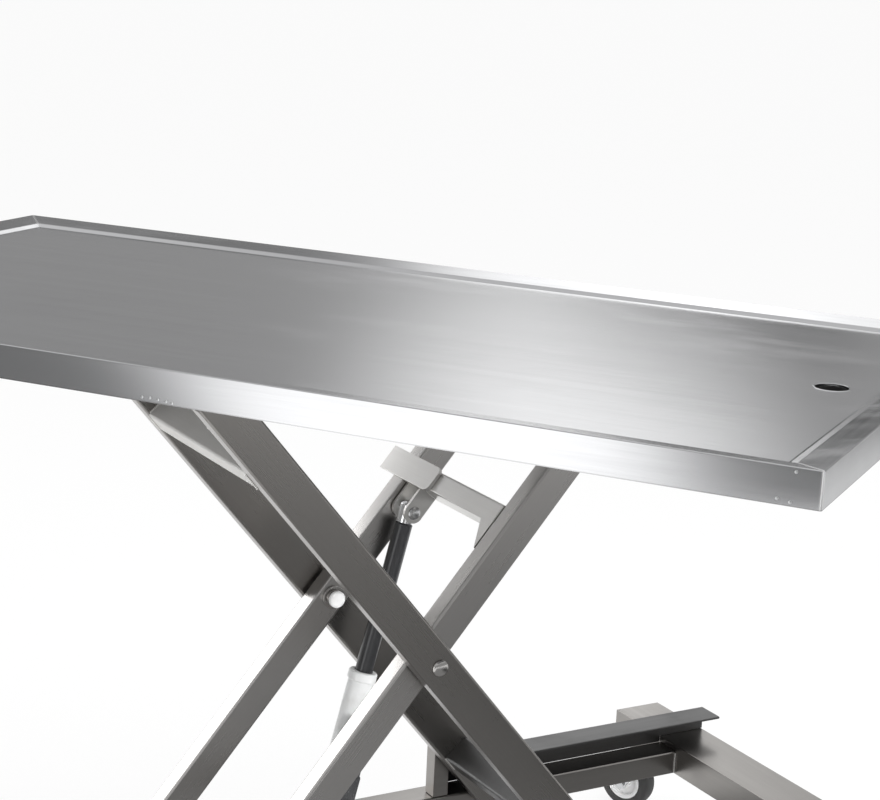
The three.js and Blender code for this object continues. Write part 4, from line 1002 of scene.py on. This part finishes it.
# %% [markdown]
# Each caster has a pressed fork whose two legs trail behind the swivel, a moulded hub and a rubber tyre with
# a rounded tread. The legs are cut from one outline, given their thickness and rounded.

# %% Casters
WHEEL_RADIUS = 37.5
TRAIL = 28
LEG_INNER = 15
LEG_OUTER = 18
LEG_HALF = 17
LEG_SHOULDER = 6
LEG_END = ((-10, 0), (-6, 8), (0, 10.5), (6, 8), (10, 0))
CROWN = 5
CROWN_RADIUS = 23
AXLE_RADIUS = 4
AXLE_HEAD = 7


def fork_leg(crown_bottom, crown_top):
    shoulder = crown_bottom - LEG_SHOULDER
    outline = [(-LEG_HALF, crown_top), (-LEG_HALF, shoulder)]
    outline += [(TRAIL + across, WHEEL_RADIUS - drop) for across, drop in LEG_END]
    outline += [(LEG_HALF, shoulder), (LEG_HALF, crown_top)]
    bm = thickened([(x * MM, LEG_INNER * MM, z * MM) for x, z in outline],
                   (0, (LEG_OUTER - LEG_INNER) * MM, 0))
    round_edges(bm, corners(bm), 0.8 * MM, 2)
    twin = bmesh.ops.duplicate(bm, geom=bm.verts[:] + bm.edges[:] + bm.faces[:])["geom"]
    bmesh.ops.scale(bm, vec=(1, -1, 1), verts=verts_in(twin))
    bmesh.ops.recalc_face_normals(bm, faces=bm.faces)
    return bm


def build_caster(place):
    fork = f"caster_fork_{place}"
    body = body_of(fork)
    axes = caster_frame(place)
    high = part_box(fork)[1].z / MM
    crown_bottom = high - CROWN
    crown = [(0, crown_bottom), (CROWN_RADIUS - 2, crown_bottom), (CROWN_RADIUS, crown_bottom + 2),
             (CROWN_RADIUS, high - 1), (CROWN_RADIUS - 1, high), (0, high)]
    piece(turned(crown), f"fork_crown_{place}", body, bright_steel, [fork], axes)
    legs = fork_leg(crown_bottom, high - 0.5)
    piece(legs, f"fork_legs_{place}", body, bright_steel, [fork], axes)
    axle_place = axes @ along_y(TRAIL * MM, WHEEL_RADIUS * MM)
    axle = both_ends([(AXLE_RADIUS, LEG_INNER), (AXLE_HEAD, LEG_OUTER)] + dome(AXLE_HEAD, 18.8, 2.2))
    piece(turned(axle, 0), f"fork_axle_{place}", body, bright_steel, [fork], axle_place)
    tread = [(25.3, -12), (31.5, -12), (34.5, -11.2), (36.6, -9), (37.4, -5.5), (37.5, 0)]
    tyre = ring(tread + mirrored(tread[:-1]))
    turned_piece(f"tyre_{place}", tyre, f"caster_tyre_{place}", tyre_rubber, axle_place, 0.4 * MM)
    face = [(AXLE_RADIUS + 0.3, -13), (8, -13), (9, -12), (9.6, -7.5), (19.2, -7.0), (20, -11.6), (24.4, -12),
            (25, -11.4)]
    hub = ring(face + mirrored(face))
    turned_piece(f"hub_{place}", hub, f"caster_hub_{place}", hub_plastic, axle_place, 0.3 * MM)


for place in PLACES:
    build_caster(place)
print("casters: 4")

# %% [markdown]
# The frames are welded by hand. A weld is a row of small overlapping beads along a seam, lighter than the
# brushed steel beside it. Each seam is given by its two ends, in millimetres along a frame and up from it.

# %% Welds
BEAD = 1.5
BEAD_STEP = 2.0
OUTER_INSIDE = ARM_FACES["outer_arm"][0] - 0.5
INNER_INSIDE = ARM_FACES["inner_arm"][0] - 0.5
BASE_INSIDE = 148
OUTER_SEAMS = (((-300, -16), (-300, 16)), ((-297, -20.5), (-279, -20.5)), ((288, -17.5), (306, -17.5)))
INNER_SEAMS = (((152, -14), (152, 14)), ((155, 17.5), (173, 17.5)))
BASE_UPRIGHTS = tuple(((x, 103), (x, 127)) for x in (567, 8.5, 48.5, -171, -211))
BASE_SEAMS = BASE_UPRIGHTS + (((11, 130), (46, 130)),)
BRACKET_SIDES = (62.7, 91.3)
BRACKET_SEAMS = (((6, 130.5), (51, 130.5)),)


def seam(bm, start, end):
    start, end = Vector(start) * MM, Vector(end) * MM
    count = max(2, round((end - start).length / (BEAD_STEP * MM)))
    for index in range(count + 1):
        middle = start.lerp(end, index / count)
        bmesh.ops.create_icosphere(bm, subdivisions=2, radius=BEAD * MM, matrix=Matrix.Translation(middle))


def welds(name, body, seams, place=None):
    bm = bmesh.new()
    for start, end in seams:
        seam(bm, start, end)
    piece(bm, name, body, weld_metal, (), place)


def on_side(seams, y):
    return [((x, y, z), (end_x, y, end_z)) for (x, z), (end_x, end_z) in seams]


outer_seams = []
inner_seams = []
base_seams = []
for _, sign in SIDES:
    outer_seams += on_side(OUTER_SEAMS, sign * OUTER_INSIDE)
    inner_seams += on_side(INNER_SEAMS, sign * INNER_INSIDE)
    base_seams += on_side(BASE_SEAMS, sign * BASE_INSIDE)
for y in BRACKET_SIDES:
    base_seams += on_side(BRACKET_SEAMS, y)
welds("outer_frame_welds", "outer_frame", outer_seams, outer_frame)
welds("inner_frame_welds", "inner_frame", inner_seams, inner_frame)
welds("base_welds", "base", base_seams)
print("welded seams:", len(outer_seams) + len(inner_seams) + len(base_seams))

# %% [markdown]
# Plastic plugs close the open ends of the arms and the crossbars. The skirt keeps a few small spots from the
# spot welder, some beside its near corner and a row in the middle of its lower edge.

# %% Plugs and weld spots
PLUG = 4
PLUG_PROUD = 0.6
WALL = 2.3
SPOTS = ((578, 760), (564.5, 737), (575, 735.5), (-12, 736), (-3.7, 736.5), (4.6, 735.8), (12.8, 735.2),
         (19, 734.6))
SPOT_RADIUS = 1.5
SPOT_RISE = 0.35


def plug(name, body, x, y, z, place=None):
    piece(block(x, y, z, 0.8, 2), name, body, nylon, (), place)


def plug_span(end):
    outward = math.copysign(1, end)
    return sorted((end - outward * PLUG, end + outward * PLUG_PROUD))


ARM_HALF_HEIGHT = {"outer_arm": 20.5, "inner_arm": 17.5}
ARM_ENDS = {"outer_arm": (-390, 378), "inner_arm": (-378, 378)}
for arm, (inner_face, outer_face) in ARM_FACES.items():
    high = ARM_HALF_HEIGHT[arm] - WALL
    body = arm.replace("arm", "frame")
    place = outer_frame if arm == "outer_arm" else inner_frame
    for side, sign in SIDES:
        span = sorted((sign * (inner_face + WALL), sign * (outer_face - WALL)))
        for end in ARM_ENDS[arm]:
            label = "upper" if (end < 0) == (arm == "outer_arm") else "lower"
            plug(f"{arm}_plug_{label}_{side}", body, plug_span(end), span, (-high, high), place)
for node in ("crossbar_right", "crossbar_left"):
    low, high = (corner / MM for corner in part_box(node))
    for side, sign in SIDES:
        plug(f"{node}_plug_{side}", "base", (low.x + WALL, high.x - WALL), plug_span(sign * high.y),
             (low.z + WALL, high.z - WALL))

spots = bmesh.new()
skirt_face = -TRAY_WIDTH / 2
for along, height in SPOTS:
    stretch = Matrix.Diagonal((SPOT_RADIUS * MM, SPOT_RISE * MM, SPOT_RADIUS * MM, 1))
    middle = Matrix.Translation((along * MM, skirt_face, height * MM))
    bmesh.ops.create_icosphere(spots, subdivisions=3, radius=1, matrix=middle @ stretch)
piece(spots, "skirt_weld_spots", "top", bright_steel, (), tray_frame)
print("plugs: 12, weld spots:", len(SPOTS))

# %% [markdown]
# Small fasteners come last: the screws of the motor's end cover and of the gear casing, the bolts that hold
# the turntable to the platform, and the light cap on the inner end of the far pivot pin.

# %% Fasteners
SCREW_RADIUS = 2.6
SCREW_RISE = 1.4
SCREW_CIRCLE = 9
SCREW_SINK = 0.3
CASING_SCREWS = ((-10, 6), (10, 6), (-13, -36), (5, -36))
BOLT_RADIUS = 6
BOLT_RISE = 4
BOLT_CIRCLE = 115 * MM
CAP_RADIUS = 9.5
CAP_RISE = 4
CAP_SINK = 3 * MM
FACING_DOWN = Matrix.Rotation(math.pi, 4, "X")


def domed_head(radius, rise):
    return turned([(0, -0.5), (radius, -0.5)] + dome(radius, 0.3, rise), 0, 24)


for index in range(4):
    angle = math.radians(45 + 90 * index)
    end = MOTOR_LENGTH - SCREW_SINK
    around = Vector((SCREW_CIRCLE * math.cos(angle), SCREW_CIRCLE * math.sin(angle), end)) * MM
    actuator_part(domed_head(SCREW_RADIUS, SCREW_RISE), f"motor_screw_{index + 1}",
                  beside @ Matrix.Translation(around), bright_steel)

for index, (x, y) in enumerate(CASING_SCREWS):
    spot = Matrix.Translation((x * MM, y * MM, HOUSING_BOTTOM * MM)) @ FACING_DOWN
    actuator_part(domed_head(SCREW_RADIUS, SCREW_RISE), f"casing_screw_{index + 1}", spot, bright_steel)

plate_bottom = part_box("turntable_lower_ring")[0].z
for index in range(4):
    angle = math.radians(90 * index)
    spot = Matrix.Translation((BOLT_CIRCLE * math.cos(angle), BOLT_CIRCLE * math.sin(angle), plate_bottom))
    bolt = domed_head(BOLT_RADIUS, BOLT_RISE)
    piece(bolt, f"turntable_bolt_{index + 1}", "platform", bright_steel, (),
          turn_axis @ spot @ FACING_DOWN)

cap_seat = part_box("pivot_pin_far")[0].y + CAP_SINK
cap = turned([(0, -0.5), (CAP_RADIUS, -0.5)] + dome(CAP_RADIUS, 1.5, CAP_RISE), 0, 48)
facing = Matrix.Translation((PIVOT.x, cap_seat, PIVOT.z)) @ QUARTER_X
piece(cap, "pivot_cap_far", body_of("pivot_pin_far"), hub_plastic, (), facing)
print("fasteners: 13")
